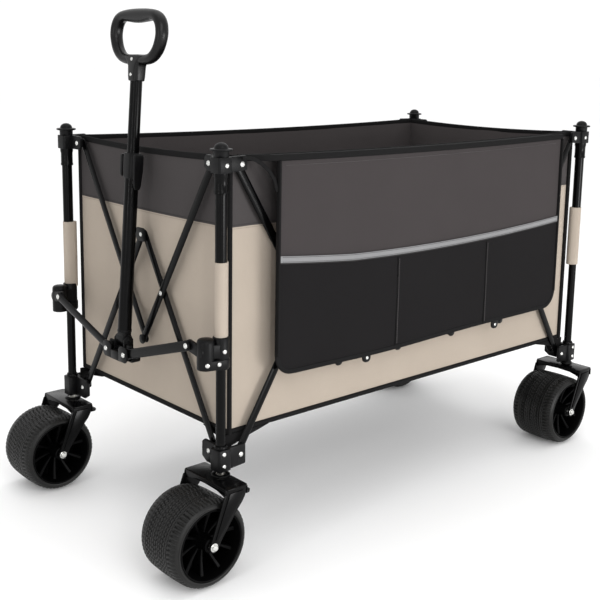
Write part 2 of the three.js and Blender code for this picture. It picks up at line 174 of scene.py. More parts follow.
def moulded(name, base, rough, grain=1400.0, gloss=0.25):
    m = Nodes(name, base, rough, Specular_IOR_Level=gloss)
    soft = m.noise(14.0, 4.0)
    m.tint(soft, 0.15)
    m.link(m.remap(soft, 0.3, 0.7, rough * 0.88, rough * 1.12), m.bsdf.inputs["Roughness"])
    m.bump(m.noise(grain, 2.0), 0.25, 0.0005)
    return m.mat


def zinc(name, base=(0.62, 0.62, 0.60), rough=0.28):
    m = Nodes(name, base, rough, metal=1.0)
    worn = m.noise(60.0, 5.0)
    m.tint(worn, 0.18)
    m.link(m.remap(worn, 0.3, 0.7, rough * 0.7, rough * 1.5), m.bsdf.inputs["Roughness"])
    m.bump(m.noise(500.0, 3.0), 0.15, 0.0003)
    return m.mat


def canvas(name, base, rough=0.88, thread=0.0011, flat=False, depth=0.35):
    """Plain weave: threads across and along the cloth, one over one under, with slubs and soft dirt."""
    m = Nodes(name, base, rough, Specular_IOR_Level=0.08)
    split = m.new("ShaderNodeSeparateXYZ")
    m.link(m.coord, split.inputs[0])
    x, y, z = split.outputs
    across = x if flat else m.math("ADD", x, y)
    along = y if flat else z
    turn = math.pi / thread
    warp = m.math("SINE", m.math("MULTIPLY", across, turn))
    weft = m.math("SINE", m.math("MULTIPLY", along, turn))
    weave = m.math("MULTIPLY_ADD", m.math("MULTIPLY", warp, weft), 0.5, 0.5)
    slub = m.noise(700.0, 2.0)
    soft = m.noise(5.0, 5.0, 0.6)
    mixed = m.math("ADD", m.math("MULTIPLY", weave, 0.34), m.math("MULTIPLY", slub, 0.3))
    mixed = m.math("ADD", mixed, m.math("MULTIPLY", soft, 0.4))
    m.tint(mixed, 0.11)
    m.bump(m.math("ADD", weave, m.math("MULTIPLY", slub, 0.6)), depth, 0.0006)
    return m.mat


MAT = {}
MAT["steel"] = painted("black_powder_coat", (0.0014, 0.0014, 0.0015), 0.2, 0.03)
MAT["bracket"] = moulded("black_bracket_plastic", (0.0035, 0.0035, 0.0038), 0.38, 1400.0, 0.12)
MAT["plastic"] = moulded("black_moulded_plastic", (0.0026, 0.0026, 0.0028), 0.36, 1400.0, 0.11)
MAT["grip"] = moulded("grip_plastic", (0.0030, 0.0030, 0.0031), 0.30, 900.0, 0.2)
MAT["rivet"] = zinc("zinc_rivet")
MAT["stem"] = zinc("bright_steel_stem", (0.50, 0.49, 0.46), 0.32)
MAT["tyre"] = moulded("tyre_rubber", (0.0052, 0.0051, 0.0048), 0.40, 700.0, 0.24)
MAT["rim"] = moulded("rim_plastic", (0.0010, 0.0010, 0.0011), 0.40, 1400.0, 0.05)
MAT["beige"] = canvas("beige_canvas", (0.335, 0.288, 0.240))
MAT["charcoal"] = canvas("charcoal_canvas", (0.050, 0.0455, 0.0455))
MAT["inside"] = canvas("inner_charcoal_canvas", (0.050, 0.0445, 0.0445))
MAT["floor_cloth"] = canvas("floor_canvas", (0.026, 0.024, 0.024), flat=True)
MAT["panel"] = canvas("panel_canvas", (0.0385, 0.0338, 0.0342))
MAT["pocket"] = canvas("pocket_canvas", (0.0080, 0.0074, 0.0078))
MAT["binding"] = canvas("black_binding_tape", (0.0070, 0.0068, 0.0070), 0.8, 0.0016, depth=0.5)
MAT["strip"] = canvas("reflective_strip", (0.185, 0.185, 0.188), 0.45, 0.0022, depth=0.2)
MAT["thread"] = moulded("black_thread", (0.014, 0.013, 0.013), 0.8)
MAT["thread_grey"] = moulded("grey_thread", (0.085, 0.080, 0.080), 0.85)
MAT["thread_beige"] = moulded("beige_thread", (0.235, 0.20, 0.165), 0.85)


# ---------------------------------------------------------------- mesh helpers
SHARP_ANGLE, BEVEL_ANGLE = math.radians(35), math.radians(40)


def finish_piece(name, bm, mats, body, replaces=(), smooth=SHARP_ANGLE, bevel=0.0):
    """Turns a bmesh into a riding object. mats is one key or a list, in the order of the faces' indices."""
    bmesh.ops.recalc_face_normals(bm, faces=bm.faces)
    mesh = bpy.data.meshes.new(name)
    bm.to_mesh(mesh)
    bm.free()
    obj = bpy.data.objects.new(name, mesh)
    bpy.context.scene.collection.objects.link(obj)
    for key in ([mats] if isinstance(mats, str) else mats):
        mesh.materials.append(MAT[key])
    if bevel:
        mod = obj.modifiers.new("bevel", "BEVEL")
        mod.width = bevel * MM
        mod.segments = 2
        mod.limit_method = "ANGLE"
        mod.angle_limit = BEVEL_ANGLE
        bake(obj)
    mesh = obj.data
    for poly in mesh.polygons:
        poly.use_smooth = True
    mesh.set_sharp_from_angle(angle=smooth)
    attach(obj, body)
    if replaces:
        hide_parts(*replaces)
    return obj


def bake(obj):
    """Applies the object's modifiers."""
    deps = bpy.context.evaluated_depsgraph_get()
    new = bpy.data.meshes.new_from_object(obj.evaluated_get(deps))
    old = obj.data
    obj.modifiers.clear()
    obj.data = new
    bpy.data.meshes.remove(old)
    new.name = obj.name


def ring_faces(bm, a, b, index=0):
    n = len(a)
    for i in range(n):
        face = bm.faces.new((a[i], a[(i + 1) % n], b[(i + 1) % n], b[i]))
        face.material_index = index


def cap_ring(bm, ring, index=0, flip=False):
    face = bm.faces.new(tuple(reversed(ring)) if flip else tuple(ring))
    face.material_index = index


def grid_faces(bm, grid, flip, index_of=lambda j: 0):
    """Fills a grid of vertices, rows of the same length; index_of gives the material of row j."""
    for j in range(len(grid) - 1):
        for i in range(len(grid[0]) - 1):
            quad = (grid[j][i], grid[j][i + 1], grid[j + 1][i + 1], grid[j + 1][i])
            face = bm.faces.new(tuple(reversed(quad)) if flip else quad)
            face.material_index = index_of(j)


def close_edges(bm, a, b, index=0):
    """Joins two grids of the same shape all round their edges."""
    sides = [(a[0], b[0]), (a[-1], b[-1])]
    sides += [([row[k] for row in a], [row[k] for row in b]) for k in (0, -1)]
    for first, second in sides:
        for i in range(len(first) - 1):
            face = bm.faces.new((first[i], first[i + 1], second[i + 1], second[i]))
            face.material_index = index


def lathe(bm, points, origin, axis, segments=40, index=0, closed=False):
    """Turns [radius, height] points in mm about axis through origin, a point in metres."""
    axis = Vector(axis).normalized()
    side = axis.orthogonal().normalized()
    other = axis.cross(side)
    rings = []
    for r, h in points:
        if r < 1e-6:
            rings.append([bm.verts.new(origin + axis * (h * MM))])
            continue
        ring = []
        for i in range(segments):
            a = 2 * math.pi * i / segments
            spoke_way = side * math.cos(a) + other * math.sin(a)
            ring.append(bm.verts.new(origin + axis * (h * MM) + spoke_way * (r * MM)))
        rings.append(ring)
    pairs = list(zip(rings, rings[1:]))
    if closed:
        pairs.append((rings[-1], rings[0]))
    for a, b in pairs:
        if len(a) == 1 and len(b) == 1:
            continue
        if len(a) == 1 or len(b) == 1:
            tip, ring = (a[0], b) if len(a) == 1 else (b[0], a)
            for i in range(segments):
                face = bm.faces.new((tip, ring[i], ring[(i + 1) % segments]))
                face.material_index = index
        else:
            ring_faces(bm, a, b, index)


def rod(bm, radius, start, end, segments=24, index=0, chamfer=1.0):
    """A capped rod between two points in metres, with small chamfers."""
    axis = end - start
    h = axis.length / MM
    c = min(chamfer, radius * 0.4, h * 0.3)
    points = [(0, 0), (radius - c, 0), (radius, c), (radius, h - c), (radius - c, h), (0, h)]
    lathe(bm, points, start, axis, segments, index)


def sweep(bm, path, section, index=0, closed=False, up=Vector((0, 0, 1))):
    """Sweeps a closed section of (a, b) mm points along path, points in metres."""
    rings = []
    n = len(path)
    for i, p in enumerate(path):
        if closed:
            tangent = path[(i + 1) % n] - path[(i - 1) % n]
        else:
            tangent = path[min(i + 1, n - 1)] - path[max(i - 1, 0)]
        tangent.normalize()
        side = tangent.cross(up)
        if side.length < 1e-4:
            side = tangent.cross(Vector((0, 1, 0)))
        side.normalize()
        top = side.cross(tangent)
        pts = section(i / max(n - 1, 1)) if callable(section) else section
        rings.append([bm.verts.new(p + side * (a * MM) + top * (b * MM)) for a, b in pts])
    for a, b in zip(rings, rings[1:]):
        ring_faces(bm, a, b, index)
    if closed:
        ring_faces(bm, rings[-1], rings[0], index)
    else:
        cap_ring(bm, rings[0], index)
        cap_ring(bm, rings[-1], index, True)
    return rings


def oval(a, b, n=16):
    return [(a * math.cos(2 * math.pi * i / n), b * math.sin(2 * math.pi * i / n)) for i in range(n)]


def rounded(half_a, half_b, r, n=4):
    out = []
    for ca, cb, start in ((1, 1, 0), (-1, 1, 90), (-1, -1, 180), (1, -1, 270)):
        for i in range(n + 1):
            t = math.radians(start + 90 * i / n)
            out.append((ca * (half_a - r) + r * math.cos(t), cb * (half_b - r) + r * math.sin(t)))
    return out


def prism(bm, outline, to_point, depth, index=0):
    """Extrudes an outline of (u, v) mm points; to_point(u, v, w) gives metres, w from 0 to depth."""
    low = [bm.verts.new(to_point(u, v, 0)) for u, v in outline]
    high = [bm.verts.new(to_point(u, v, depth)) for u, v in outline]
    ring_faces(bm, low, high, index)
    cap_ring(bm, low, index, True)
    cap_ring(bm, high, index)


def block(bm, lo, hi, index=0):
    """An axis-aligned box from corner to corner, in mm about the legs' middle."""
    x0, y0, z0 = lo
    x1, y1, z1 = hi
    prism(bm, [(x0, y0), (x1, y0), (x1, y1), (x0, y1)], lambda u, v, w: P(u, v, z0 + w), z1 - z0, index)


def rivet(bm, at, axis, radius=5.0, proud=2.4, index=0, segments=20):
    """A domed rivet head with a dished centre, standing on at."""
    r, h = radius, proud
    points = [(0, -0.6), (r, -0.6), (r, 0.25 * h), (r * 0.92, 0.6 * h), (r * 0.7, 0.9 * h), (r * 0.45, h),
              (r * 0.38, h), (r * 0.25, 0.75 * h), (0, 0.7 * h)]
    lathe(bm, points, at, axis, segments, index)


# ---------------------------------------------------------------- scissor bars
ANGLE, ANGLE_FOLDED = math.radians(58.3), math.radians(76.0)
FRONT_INSET, SIDE_INSET = 41.0, 40.0
FRONT_SPAN, SIDE_SPAN = 2 * (LEG_X - FRONT_INSET), 2 * (LEG_Y - SIDE_INSET)
FRONT_FACE, SIDE_FACE = 544.0, 271.0       # the bars' inner faces
LAYER, BAR_THICK = 6.4, 6.0
BARS_OUT = LAYER + BAR_THICK


def face_points(span, crosses):
    outer = (PIVOT_MID - PIVOT_LOW) / math.tan(ANGLE)
    inner = (span - 2 * outer) / (2 * (crosses - 1))
    rise = inner * math.tan(ANGLE)
    us = [-span / 2]
    centres = []
    for i in range(crosses):
        first, last = i == 0, i == crosses - 1
        centres.append(us[-1] + (outer if first else inner))
        us.append(centres[-1] + (outer if last else inner))
    return us, centres, rise


def face_bars(span, crosses):
    us, _, rise = face_points(span, crosses)
    out = []
    for i in range(crosses):
        low_a = PIVOT_LOW if i == 0 else PIVOT_MID - rise
        low_b = PIVOT_LOW if i == crosses - 1 else PIVOT_MID - rise
        flip = 2 * PIVOT_MID
        out.append((f"rising_{i + 1}", (us[i], low_a), (us[i + 1], flip - low_b), 1))
        out.append((f"falling_{i + 1}", (us[i], flip - low_a), (us[i + 1], low_b), 0))
    return out


def bar_outline(a, b, width, n=8):
    t = math.atan2(b[1] - a[1], b[0] - a[0])
    pts = []
    for centre, start in ((b, t - math.pi / 2), (a, t + math.pi / 2)):
        for i in range(n + 1):
            s = start + math.pi * i / n
            pts.append((centre[0] + width / 2 * math.cos(s), centre[1] + width / 2 * math.sin(s)))
    return pts


BAR_WIDTH = 18
HALF_CROWN = [(0.16, 0.0), (0.5, 0.04), (0.74, 0.13), (0.9, 0.27), (0.985, 0.42)]
CROWN = HALF_CROWN + [(1.0, 0.5)] + [(share, 1 - w) for share, w in reversed(HALF_CROWN)]


def crowned_bar(bm, a, b, width, thick, at):
    """A flattened tube between two pivots, oval in section; at(u, v, w) places a point in metres."""
    rings = [[bm.verts.new(at(u, v, w * thick)) for u, v in bar_outline(a, b, width * share)]
             for share, w in CROWN]
    for low, high in zip(rings, rings[1:]):
        ring_faces(bm, low, high)
    cap_ring(bm, rings[0], 0, True)
    cap_ring(bm, rings[-1])


def face_map(face):
    """(u, v, w) to metres: w mm outward from the inner face of the bars."""
    if face == "front":
        return lambda u, v, w: P(u, -FRONT_FACE - w, v)
    if face == "rear":
        return lambda u, v, w: P(u, FRONT_FACE + w, v)
    if face == "left":
        return lambda u, v, w: P(-SIDE_FACE - w, u, v)
    return lambda u, v, w: P(SIDE_FACE + w, u, v)


FACES = {"front": (FRONT_SPAN, 2, Vector((0, -1, 0))), "rear": (FRONT_SPAN, 2, Vector((0, 1, 0))),
         "left": (SIDE_SPAN, 5, Vector((-1, 0, 0))), "right": (SIDE_SPAN, 5, Vector((1, 0, 0)))}


def build_bars(face):
    span, crosses, _ = FACES[face]
    at = face_map(face)
    for name, a, b, layer in face_bars(span, crosses):
        bm = bmesh.new()
        w0 = layer * LAYER
        crowned_bar(bm, a, b, BAR_WIDTH, BAR_THICK, lambda u, v, w: at(u, v, w0 + w))
        node = f"bar_{face}_{name}"
        finish_piece(node + "_tube", bm, "steel", node, [node], smooth=math.radians(60))


def build_bar_rivets(face):
    """Crossing rivets on each rising bar, and the end hubs' plastic blocks on the bars that carry them."""
    span, crosses, out = FACES[face]
    at = face_map(face)
    us, centres, rise = face_points(span, crosses)
    front = face == "front"
    deep = 1.0 if front else 2.6
    foot = BARS_OUT + 0.2
    for i in range(crosses):
        bm = bmesh.new()
        rivet(bm, at(centres[i], PIVOT_MID, BARS_OUT), out, 5.2, 1.6)
        finish_piece(f"rivet_{face}_cross_{i + 1}", bm, "rivet", f"bar_{face}_rising_{i + 1}")
    for i in range(1, crosses):
        for high in (True, False):
            z = PIVOT_MID + (rise if high else -rise)
            body = f"bar_{face}_rising_{i}" if high else f"bar_{face}_rising_{i + 1}"
            bm = bmesh.new()
            half_u, half_v, corner_r = (17, 14, 7) if crosses == 2 and high else (9.8, 9.8, 8)
            prism(bm, rounded(half_u, half_v, corner_r),
                  lambda u, v, w: at(us[i] + u, z + v, foot + w), deep)
            rivet(bm, at(us[i], z, foot + deep), out, 4.6, 0.8 if front else 1.6, 1 if high else 0)
            finish_piece(f"hub_{face}_{'top' if high else 'low'}_{i}", bm, ["plastic", "rivet"], body,
                         bevel=0.4 if front else 0.8)


for key in FACES:
    build_bars(key)
    build_bar_rivets(key)


# ---------------------------------------------------------------- legs
BLOCK_HALF = 15.0
ARM_GAP, ARM_THICK = 0.4, 7.0
LOWER_TUBE_R, LOWER_TUBE_TOP = 9.3, 640.0
UP = (0, 0, 1)


def bracket(bm, sx, sy, low, high, reach):
    """The moulded corner bracket: a block round the leg and two arms outside the bars, with cut corners."""
    x, y = sx * LEG_X, sy * LEG_Y
    tall = high - low
    prism(bm, rounded(BLOCK_HALF, BLOCK_HALF, 5, 5), lambda u, v, w: P(x + u, y + v, low + w), tall)
    cut = min(9.0, tall * 0.22)
    end_y, side_x = sy * (FRONT_FACE + BARS_OUT + ARM_GAP), sx * (SIDE_FACE + BARS_OUT + ARM_GAP)
    tip = FRONT_INSET + reach
    arm = [(0, low), (0, high), (-tip + 6, high), (-tip, high - 5), (-tip, low + cut),
           (-tip + 1.6 * cut, low)]
    prism(bm, arm, lambda u, v, w: P(x + sx * u, end_y + sy * w, v), ARM_THICK)
    tip = SIDE_INSET + 12
    arm = [(0, low), (0, high), (-tip + 3, high + 0.8), (-tip, high - 2), (-tip, low + cut * 0.6),
           (-tip + 2, low + 3)]
    prism(bm, arm, lambda u, v, w: P(side_x + sx * w, y + sy * u, v), ARM_THICK)


def bracket_rivets(bm, sx, sy, pivot_z, near_leg, forward, index):
    """Rivets at the two arms' pivots, and beside the leg at near_leg's heights, forward mm along y from it."""
    out_y, out_x = Vector((0, sy, 0)), Vector((sx, 0, 0))
    arm_out = BARS_OUT + ARM_GAP + ARM_THICK
    end_y, side_x = FRONT_FACE + arm_out, SIDE_FACE + arm_out
    rivet(bm, P(sx * (LEG_X - FRONT_INSET), sy * end_y, pivot_z), out_y, 5.2, 2.2, index)
    rivet(bm, P(sx * side_x, sy * (LEG_Y - SIDE_INSET), pivot_z), out_x, 5.2, 2.2, index)
    for z in near_leg:
        rivet(bm, P(sx * (LEG_X + BLOCK_HALF - 0.1), sy * (LEG_Y + forward), z), out_x, 4.4, 2.0, index)


LOWER_BLOCK, UPPER_BLOCK = (198.0, 241.0, 22.0), (762.0, 791.0, 14.0)


def build_lower_leg(corner, sx, sy):
    x, y = sx * LEG_X, sy * LEG_Y
    low, high, reach = LOWER_BLOCK
    bm = bmesh.new()
    bracket(bm, sx, sy, low, high, reach)
    finish_piece(f"bottom_bracket_{corner}", bm, "bracket", LEG_BODY[corner],
                 [f"leg_lower_{corner}"], bevel=1.6)
    bm = bmesh.new()
    rod(bm, LOWER_TUBE_R, P(x, y, high - 3), P(x, y, LOWER_TUBE_TOP), 40)
    collar = [(LOWER_TUBE_R, high - 0.2), (12.6, high - 0.2), (12.6, high + 4), (11.4, high + 6),
              (LOWER_TUBE_R, high + 6)]
    lathe(bm, collar, P(x, y, 0), UP, 32, closed=True)
    finish_piece(f"lower_tube_{corner}", bm, "steel", LEG_BODY[corner])
    bm = bmesh.new()
    bracket_rivets(bm, sx, sy, PIVOT_LOW, (209, 233), 3, 0)
    if sy < 0:
        stem = [(0, 189.4), (9.5, 189.4), (9.5, 191), (7.5, 192), (7.5, 196), (9, 197), (9, 198.2),
                (0, 198.2)]
        lathe(bm, stem, P(x, y, 0), UP, 32, 1)
    finish_piece(f"bracket_rivets_{corner}", bm, ["rivet", "stem"], LEG_BODY[corner])
    if sy > 0:
        bm = bmesh.new()
        stem = [(0, 189.2), (15, 189.2), (14, 192), (12, 194), (12, 198.5), (0, 198.5)]
        lathe(bm, stem, P(x, y, 0), UP, 32)
        finish_piece(f"rear_stem_{corner}", bm, "bracket", LEG_BODY[corner])


def build_upper_leg(corner, sx, sy):
    x, y = sx * LEG_X, sy * LEG_Y
    body = f"leg_upper_{corner}"
    low, high, reach = UPPER_BLOCK
    bm = bmesh.new()
    tube = [(9.9, 470), (11, 470.6), (11, 724), (13.4, 725), (13.4, 729), (12.8, 730), (12.8, 752),
            (14.0, 756), (14.0, 768), (9.9, 768), (9.9, 760)]
    lathe(bm, tube, P(x, y, 0), UP, 40, closed=True)
    finish_piece(f"upper_tube_{corner}", bm, "steel", body, [body])
    bm = bmesh.new()
    bracket(bm, sx, sy, low, high, reach)
    cap = [(0, 790), (14, 790), (14.4, 801.4), (20.0, 802.2), (21, 803.2), (21, 804.8), (20.2, 805.8),
           (13.8, 806.4)]
    for i in range(7):
        t = math.radians(90 * i / 6)
        cap.append((13 * math.cos(t) if i < 6 else 0, 807 + 10 * math.sin(t)))
    lathe(bm, cap, P(x, y, 0), UP, 40)
    finish_piece(f"top_bracket_{corner}", bm, "bracket", body, bevel=1.1)
    bm = bmesh.new()
    bracket_rivets(bm, sx, sy, PIVOT_HIGH, (PIVOT_HIGH,), -2, 0)
    finish_piece(f"top_rivets_{corner}", bm, "rivet", body)


for corner, sx, sy in CORNERS:
    build_lower_leg(corner, sx, sy)
    build_upper_leg(corner, sx, sy)


# ---------------------------------------------------------------- casters
WHEEL_R, TRAIL = 85.5, 63.5
WHEEL_HALF, SHOULDER = 59.0, 17.0
RIB_PITCH, RIB_DEPTH, BLOCKS_ROUND = 6.5, 2.6, 60
TREAD_SEGMENTS, SPOKES = 240, 10
FORK_TOP, PLATE_THICK = 189.0, 4.0
CHEEK_IN, CHEEK_THICK = 62.8, 2.2


def tread_radius(a, h):
    """The tyre's outline radius at height h across the tread and angle a round it, with ribs and blocks."""
    edge = abs(h)
    flat = WHEEL_HALF - SHOULDER
    if edge <= flat:
        base = WHEEL_R - 1.4 * (edge / flat) ** 2
    else:
        t = min(1.0, (edge - flat) / SHOULDER)
        base = WHEEL_R - 1.4 - (SHOULDER - 2) * (1 - math.sqrt(max(0.0, 1 - t * t)))
    turn = a / (2 * math.pi)
    if edge < flat - 3:
        rib = (edge / RIB_PITCH) % 1.0
        slot = (turn * BLOCKS_ROUND + 0.5 * (int(edge / RIB_PITCH) % 2) + 0.05 * h) % 1.0
        if rib < 0.2 or slot < 0.16:
            base -= RIB_DEPTH
    elif edge < WHEEL_HALF - 5:
        if (turn * BLOCKS_ROUND + (0.5 if h > 0 else 0)) % 1.0 < 0.3:
            base -= RIB_DEPTH - 0.4
    return base


def build_tyre(corner, sx, sy):
    hub = P(sx * LEG_X, sy * LEG_Y - TRAIL, WHEEL_R)
    bm = bmesh.new()
    edges = [41, 43.5, 46, 49, 52, 54.5, 56.6, 58.2, 58.8]
    middle = [h * 1.3 for h in range(-30, 31)]
    heights = [-h for h in reversed(edges)] + middle + edges
    turns = [2 * math.pi * i / TREAD_SEGMENTS for i in range(TREAD_SEGMENTS)]

    def ring(h, radius_at):
        return [bm.verts.new(hub + Vector((h, radius_at(a) * math.cos(a), radius_at(a) * math.sin(a))) * MM)
                for a in turns]
    rings = [ring(h, lambda a: tread_radius(a, h)) for h in heights]
    for r, h in ((74, 58.9), (70, 57.6), (68.3, 54), (68.2, -54), (70, -57.6), (74, -58.9)):
        rings.append(ring(h, lambda a: r))
    for a, b in zip(rings, rings[1:] + rings[:1]):
        ring_faces(bm, a, b)
    finish_piece(f"tread_{corner}", bm, "tyre", f"wheel_{corner}", [f"tyre_{corner}"],
                 smooth=math.radians(28))


def spoke(bm, hub, angle, side, r0, r1, w0, w1):
    """One thin tapered spoke from the hub to the barrel; side is the face's direction in x."""
    def at(r, t, x):
        ca, sa = math.cos(angle), math.sin(angle)
        return hub + Vector((x * MM, (r * ca - t * sa) * MM, (r * sa + t * ca) * MM))
    rings = []
    for k in range(7):
        s = k / 6
        r = r0 + (r1 - r0) * s
        w = w0 + (w1 - w0) * s ** 1.4
        dish = 30 + 12 * s ** 1.5
        back = dish - 26
        pts = [(-w, back), (-w, dish - 1.5), (-w * 0.6, dish), (w * 0.6, dish), (w, dish - 1.5), (w, back)]
        rings.append([bm.verts.new(at(r, t, side * x)) for t, x in pts])
    for a, b in zip(rings, rings[1:]):
        ring_faces(bm, a, b)
    cap_ring(bm, rings[0])
    cap_ring(bm, rings[-1], 0, True)


def build_rim(corner, sx, sy):
    hub = P(sx * LEG_X, sy * LEG_Y - TRAIL, WHEEL_R)
    bm = bmesh.new()
    x_axis = (1, 0, 0)
    barrel = [(67.6, -53), (69.2, -57.4), (67.6, -58.4), (66.0, -57.6), (64.6, -53), (63.4, -40), (62.6, -5),
              (62.6, 5), (63.4, 40), (64.6, 53), (66.0, 57.6), (67.6, 58.4), (69.2, 57.4), (67.6, 53)]
    lathe(bm, barrel, hub, x_axis, 96, closed=True)
    boss = [(6.4, -57), (12, -57), (14, -55), (14, -34), (18, -28), (19, -16)]
    boss += [(r, -h) for r, h in reversed(boss)]
    lathe(bm, boss, hub, x_axis, 40, closed=True)
    lathe(bm, [(18, -3), (63, -3), (63, 3), (18, 3)], hub, x_axis, 72, closed=True)
    for side in (-1, 1):
        for k in range(SPOKES):
            spoke(bm, hub, 2 * math.pi * (k + 0.25) / SPOKES, side, 15, 63.8, 2.4, 4.2)
    finish_piece(f"spoked_rim_{corner}", bm, "rim", f"wheel_{corner}", [f"rim_{corner}"])


def cheek(y):
    """A cheek's outline from the plate down and forward to its round end at the axle."""
    pts = [(y + 11, FORK_TOP), (y - 37, FORK_TOP), (y - 40, 176)]
    for i in range(13):
        t = math.radians(168 + (352 - 168) * i / 12)
        pts.append((y - TRAIL + 11.2 * math.cos(t), WHEEL_R + 11.2 * math.sin(t)))
    return pts + [(y - 45, 97), (y - 9, 145), (y + 1, 156), (y + 8, 167), (y + 11, 178)]


def build_fork(corner, sx, sy):
    x, y = sx * LEG_X, sy * LEG_Y
    body = f"caster_{corner}" if sy < 0 else LEG_BODY[corner]
    bm = bmesh.new()
    prism(bm, rounded(67, 25, 5, 4), lambda u, v, w: P(x + u, y - 12 + v, FORK_TOP - PLATE_THICK + w),
          PLATE_THICK)
    for side in (-1, 1):
        prism(bm, cheek(y), lambda u, v, w: P(x + side * (CHEEK_IN + w), u, v), CHEEK_THICK)
        rib = [(y - 28, 180), (y - 61, 98), (y - 54, 95), (y - 14, 147), (y - 3, 160), (y + 3, 180)]
        prism(bm, rib, lambda u, v, w: P(x + side * (CHEEK_IN + 2 + w), u, v), 2.0)
        lip = [(y - 39.6, 180), (y - 35, 180), (y - 70, 92), (y - 73.6, 88)]
        prism(bm, lip, lambda u, v, w: P(x + side * (CHEEK_IN + 2 + w), u, v), 2.0)
    for edge in (-37.0, 10.5):
        arch = [(-66, 186), (66, 186), (66, 170), (52, 175), (36, 179), (0, 180.5), (-36, 179), (-52, 175),
                (-66, 170)]
        prism(bm, arch, lambda u, v, w: P(x + u, y + edge + w, v), 2.5)
    if sy > 0:
        boss = [(0, 188.6), (17, 188.6), (16.6, 189.1), (12, 189.3), (0, 189.3)]
    else:
        boss = [(10.2, 188.6), (18.5, 188.6), (18, 190.8), (14, 192), (10.2, 192)]
    lathe(bm, boss, P(x, y, 0), UP, 40, closed=sy < 0)
    finish_piece(f"fork_sheet_{corner}", bm, "steel", body, [f"fork_{corner}"], bevel=0.9)
    bm = bmesh.new()
    rod(bm, 6, P(x - 67, y - TRAIL, WHEEL_R), P(x + 67, y - TRAIL, WHEEL_R), 20)
    for side in (-1, 1):
        at = P(x + side * 65, y - TRAIL, WHEEL_R)
        axis = Vector((side, 0, 0))
        lathe(bm, [(0, -0.4), (8.2, -0.4), (8.2, 0.8), (7.4, 1.4), (0, 1.4)], at, axis, 28)
        lathe(bm, [(0, 0.9), (5.6, 0.9), (5.6, 4.0), (4.6, 5.4), (0, 5.8)], at, axis, 20)
    finish_piece(f"axle_{corner}", bm, "rivet", body)


def build_brake(corner, sx, sy):
    x, y = sx * LEG_X + 44, sy * LEG_Y
    bm = bmesh.new()
    prism(bm, [(-13, 8), (13, 8), (13, 24), (9, 29), (-9, 29), (-13, 24)],
          lambda u, v, w: P(x + u, y + v, 166 + w), 5)
    for k in range(3):
        block(bm, (x - 10, y + 15 + 4 * k, 170.6), (x + 10, y + 16.6 + 4 * k, 171.8))
    finish_piece(f"brake_pedal_{corner}", bm, "plastic", f"brake_{corner}",
                 [f"brake_lever_{corner}"], bevel=0.8)


for corner, sx, sy in CORNERS:
    build_tyre(corner, sx, sy)
    build_rim(corner, sx, sy)
    build_fork(corner, sx, sy)
    if sy < 0:
        build_brake(corner, sx, sy)


# ---------------------------------------------------------------- handle
LEAN = math.radians(4.1)
POLE_Y, POLE_Z = -600.0, 398.0
FORWARD = (0, -1, 0)


def pole(u, v, s):
    """A point on the pole's frame: u across, v behind it, s mm along it from its pivot."""
    return P(u, POLE_Y + v * math.cos(LEAN) + s * math.sin(LEAN),
             POLE_Z + s * math.cos(LEAN) - v * math.sin(LEAN))


POLE_AXIS = (pole(0, 0, 1) - pole(0, 0, 0)).normalized()
POLE_FRONT = (pole(0, -1, 0) - pole(0, 0, 0)).normalized()


def loft(bm, levels, centre=(0, 0)):
    """Rounded sections [s, half across, half deep, corner] along the pole, capped at both ends."""
    rings = [[bm.verts.new(pole(centre[0] + u, centre[1] + v, s)) for u, v in rounded(a, b, c, 5)]
             for s, a, b, c in levels]
    for a, b in zip(rings, rings[1:]):
        ring_faces(bm, a, b)
    cap_ring(bm, rings[0])
    cap_ring(bm, rings[-1], 0, True)


def build_pole():
    foot = pole(0, 0, 0)
    bm = bmesh.new()
    lathe(bm, [(12.5, 18), (14, 17), (14, 340), (12.5, 340)], foot, POLE_AXIS, 48, closed=True)
    finish_piece("pole_lower_tube", bm, "steel", "pole_outer", ["pole_outer"])
    bm = bmesh.new()
    rod(bm, 12, pole(-13.4, 0, 0), pole(13.4, 0, 0), 32)
    prism(bm, rounded(13, 10, 4), lambda u, v, w: pole(u, v, w), 16)
    lathe(bm, [(0, 14), (14.4, 14), (14.8, 15), (14.8, 19), (14.3, 20), (0, 20)], foot, POLE_AXIS, 40)
    finish_piece("pole_foot", bm, "plastic", "pole_outer", bevel=0.8)
    bm = bmesh.new()
    levels = [(328, 15.5, 13.9), (330, 17, 14.3), (334, 18, 14.4), (350, 19, 14.5), (368, 19, 14.5),
              (375, 18.4, 14.4), (378, 16.5, 13.6)]
    rings = [[bm.verts.new(pole(u, v, s)) for u, v in rounded(a, b, 11, 6)] for s, a, b in levels]
    inner = [bm.verts.new(pole(u, v, 378)) for u, v in rounded(12.3, 12.3, 12.2, 6)]
    base = [bm.verts.new(pole(u, v, 328)) for u, v in rounded(14.1, 14.1, 14, 6)]
    rings = [base] + rings + [inner]
    for a, b in zip(rings, rings[1:]):
        ring_faces(bm, a, b)
    ring_faces(bm, inner, base)
    loft(bm, [(331, 3.2, 11, 2), (334, 4.4, 12.4, 2), (371, 4.4, 12.4, 2), (375, 3.2, 11, 2)], (-20, -2))
    loft(bm, [(306, 1.6, 5, 1.2), (312, 2.6, 8, 1.8), (345, 3.6, 11, 2), (372, 3.6, 11, 2),
              (376, 2.4, 9, 1.6)], (20.6, 0))
    finish_piece("pole_collar", bm, "plastic", "pole_outer", bevel=0.7)
    bm = bmesh.new()
    rod(bm, 12, pole(0, 0, 147), pole(0, 0, 524), 40)
    finish_piece("pole_upper_tube", bm, "steel", "pole_inner", ["pole_inner"])


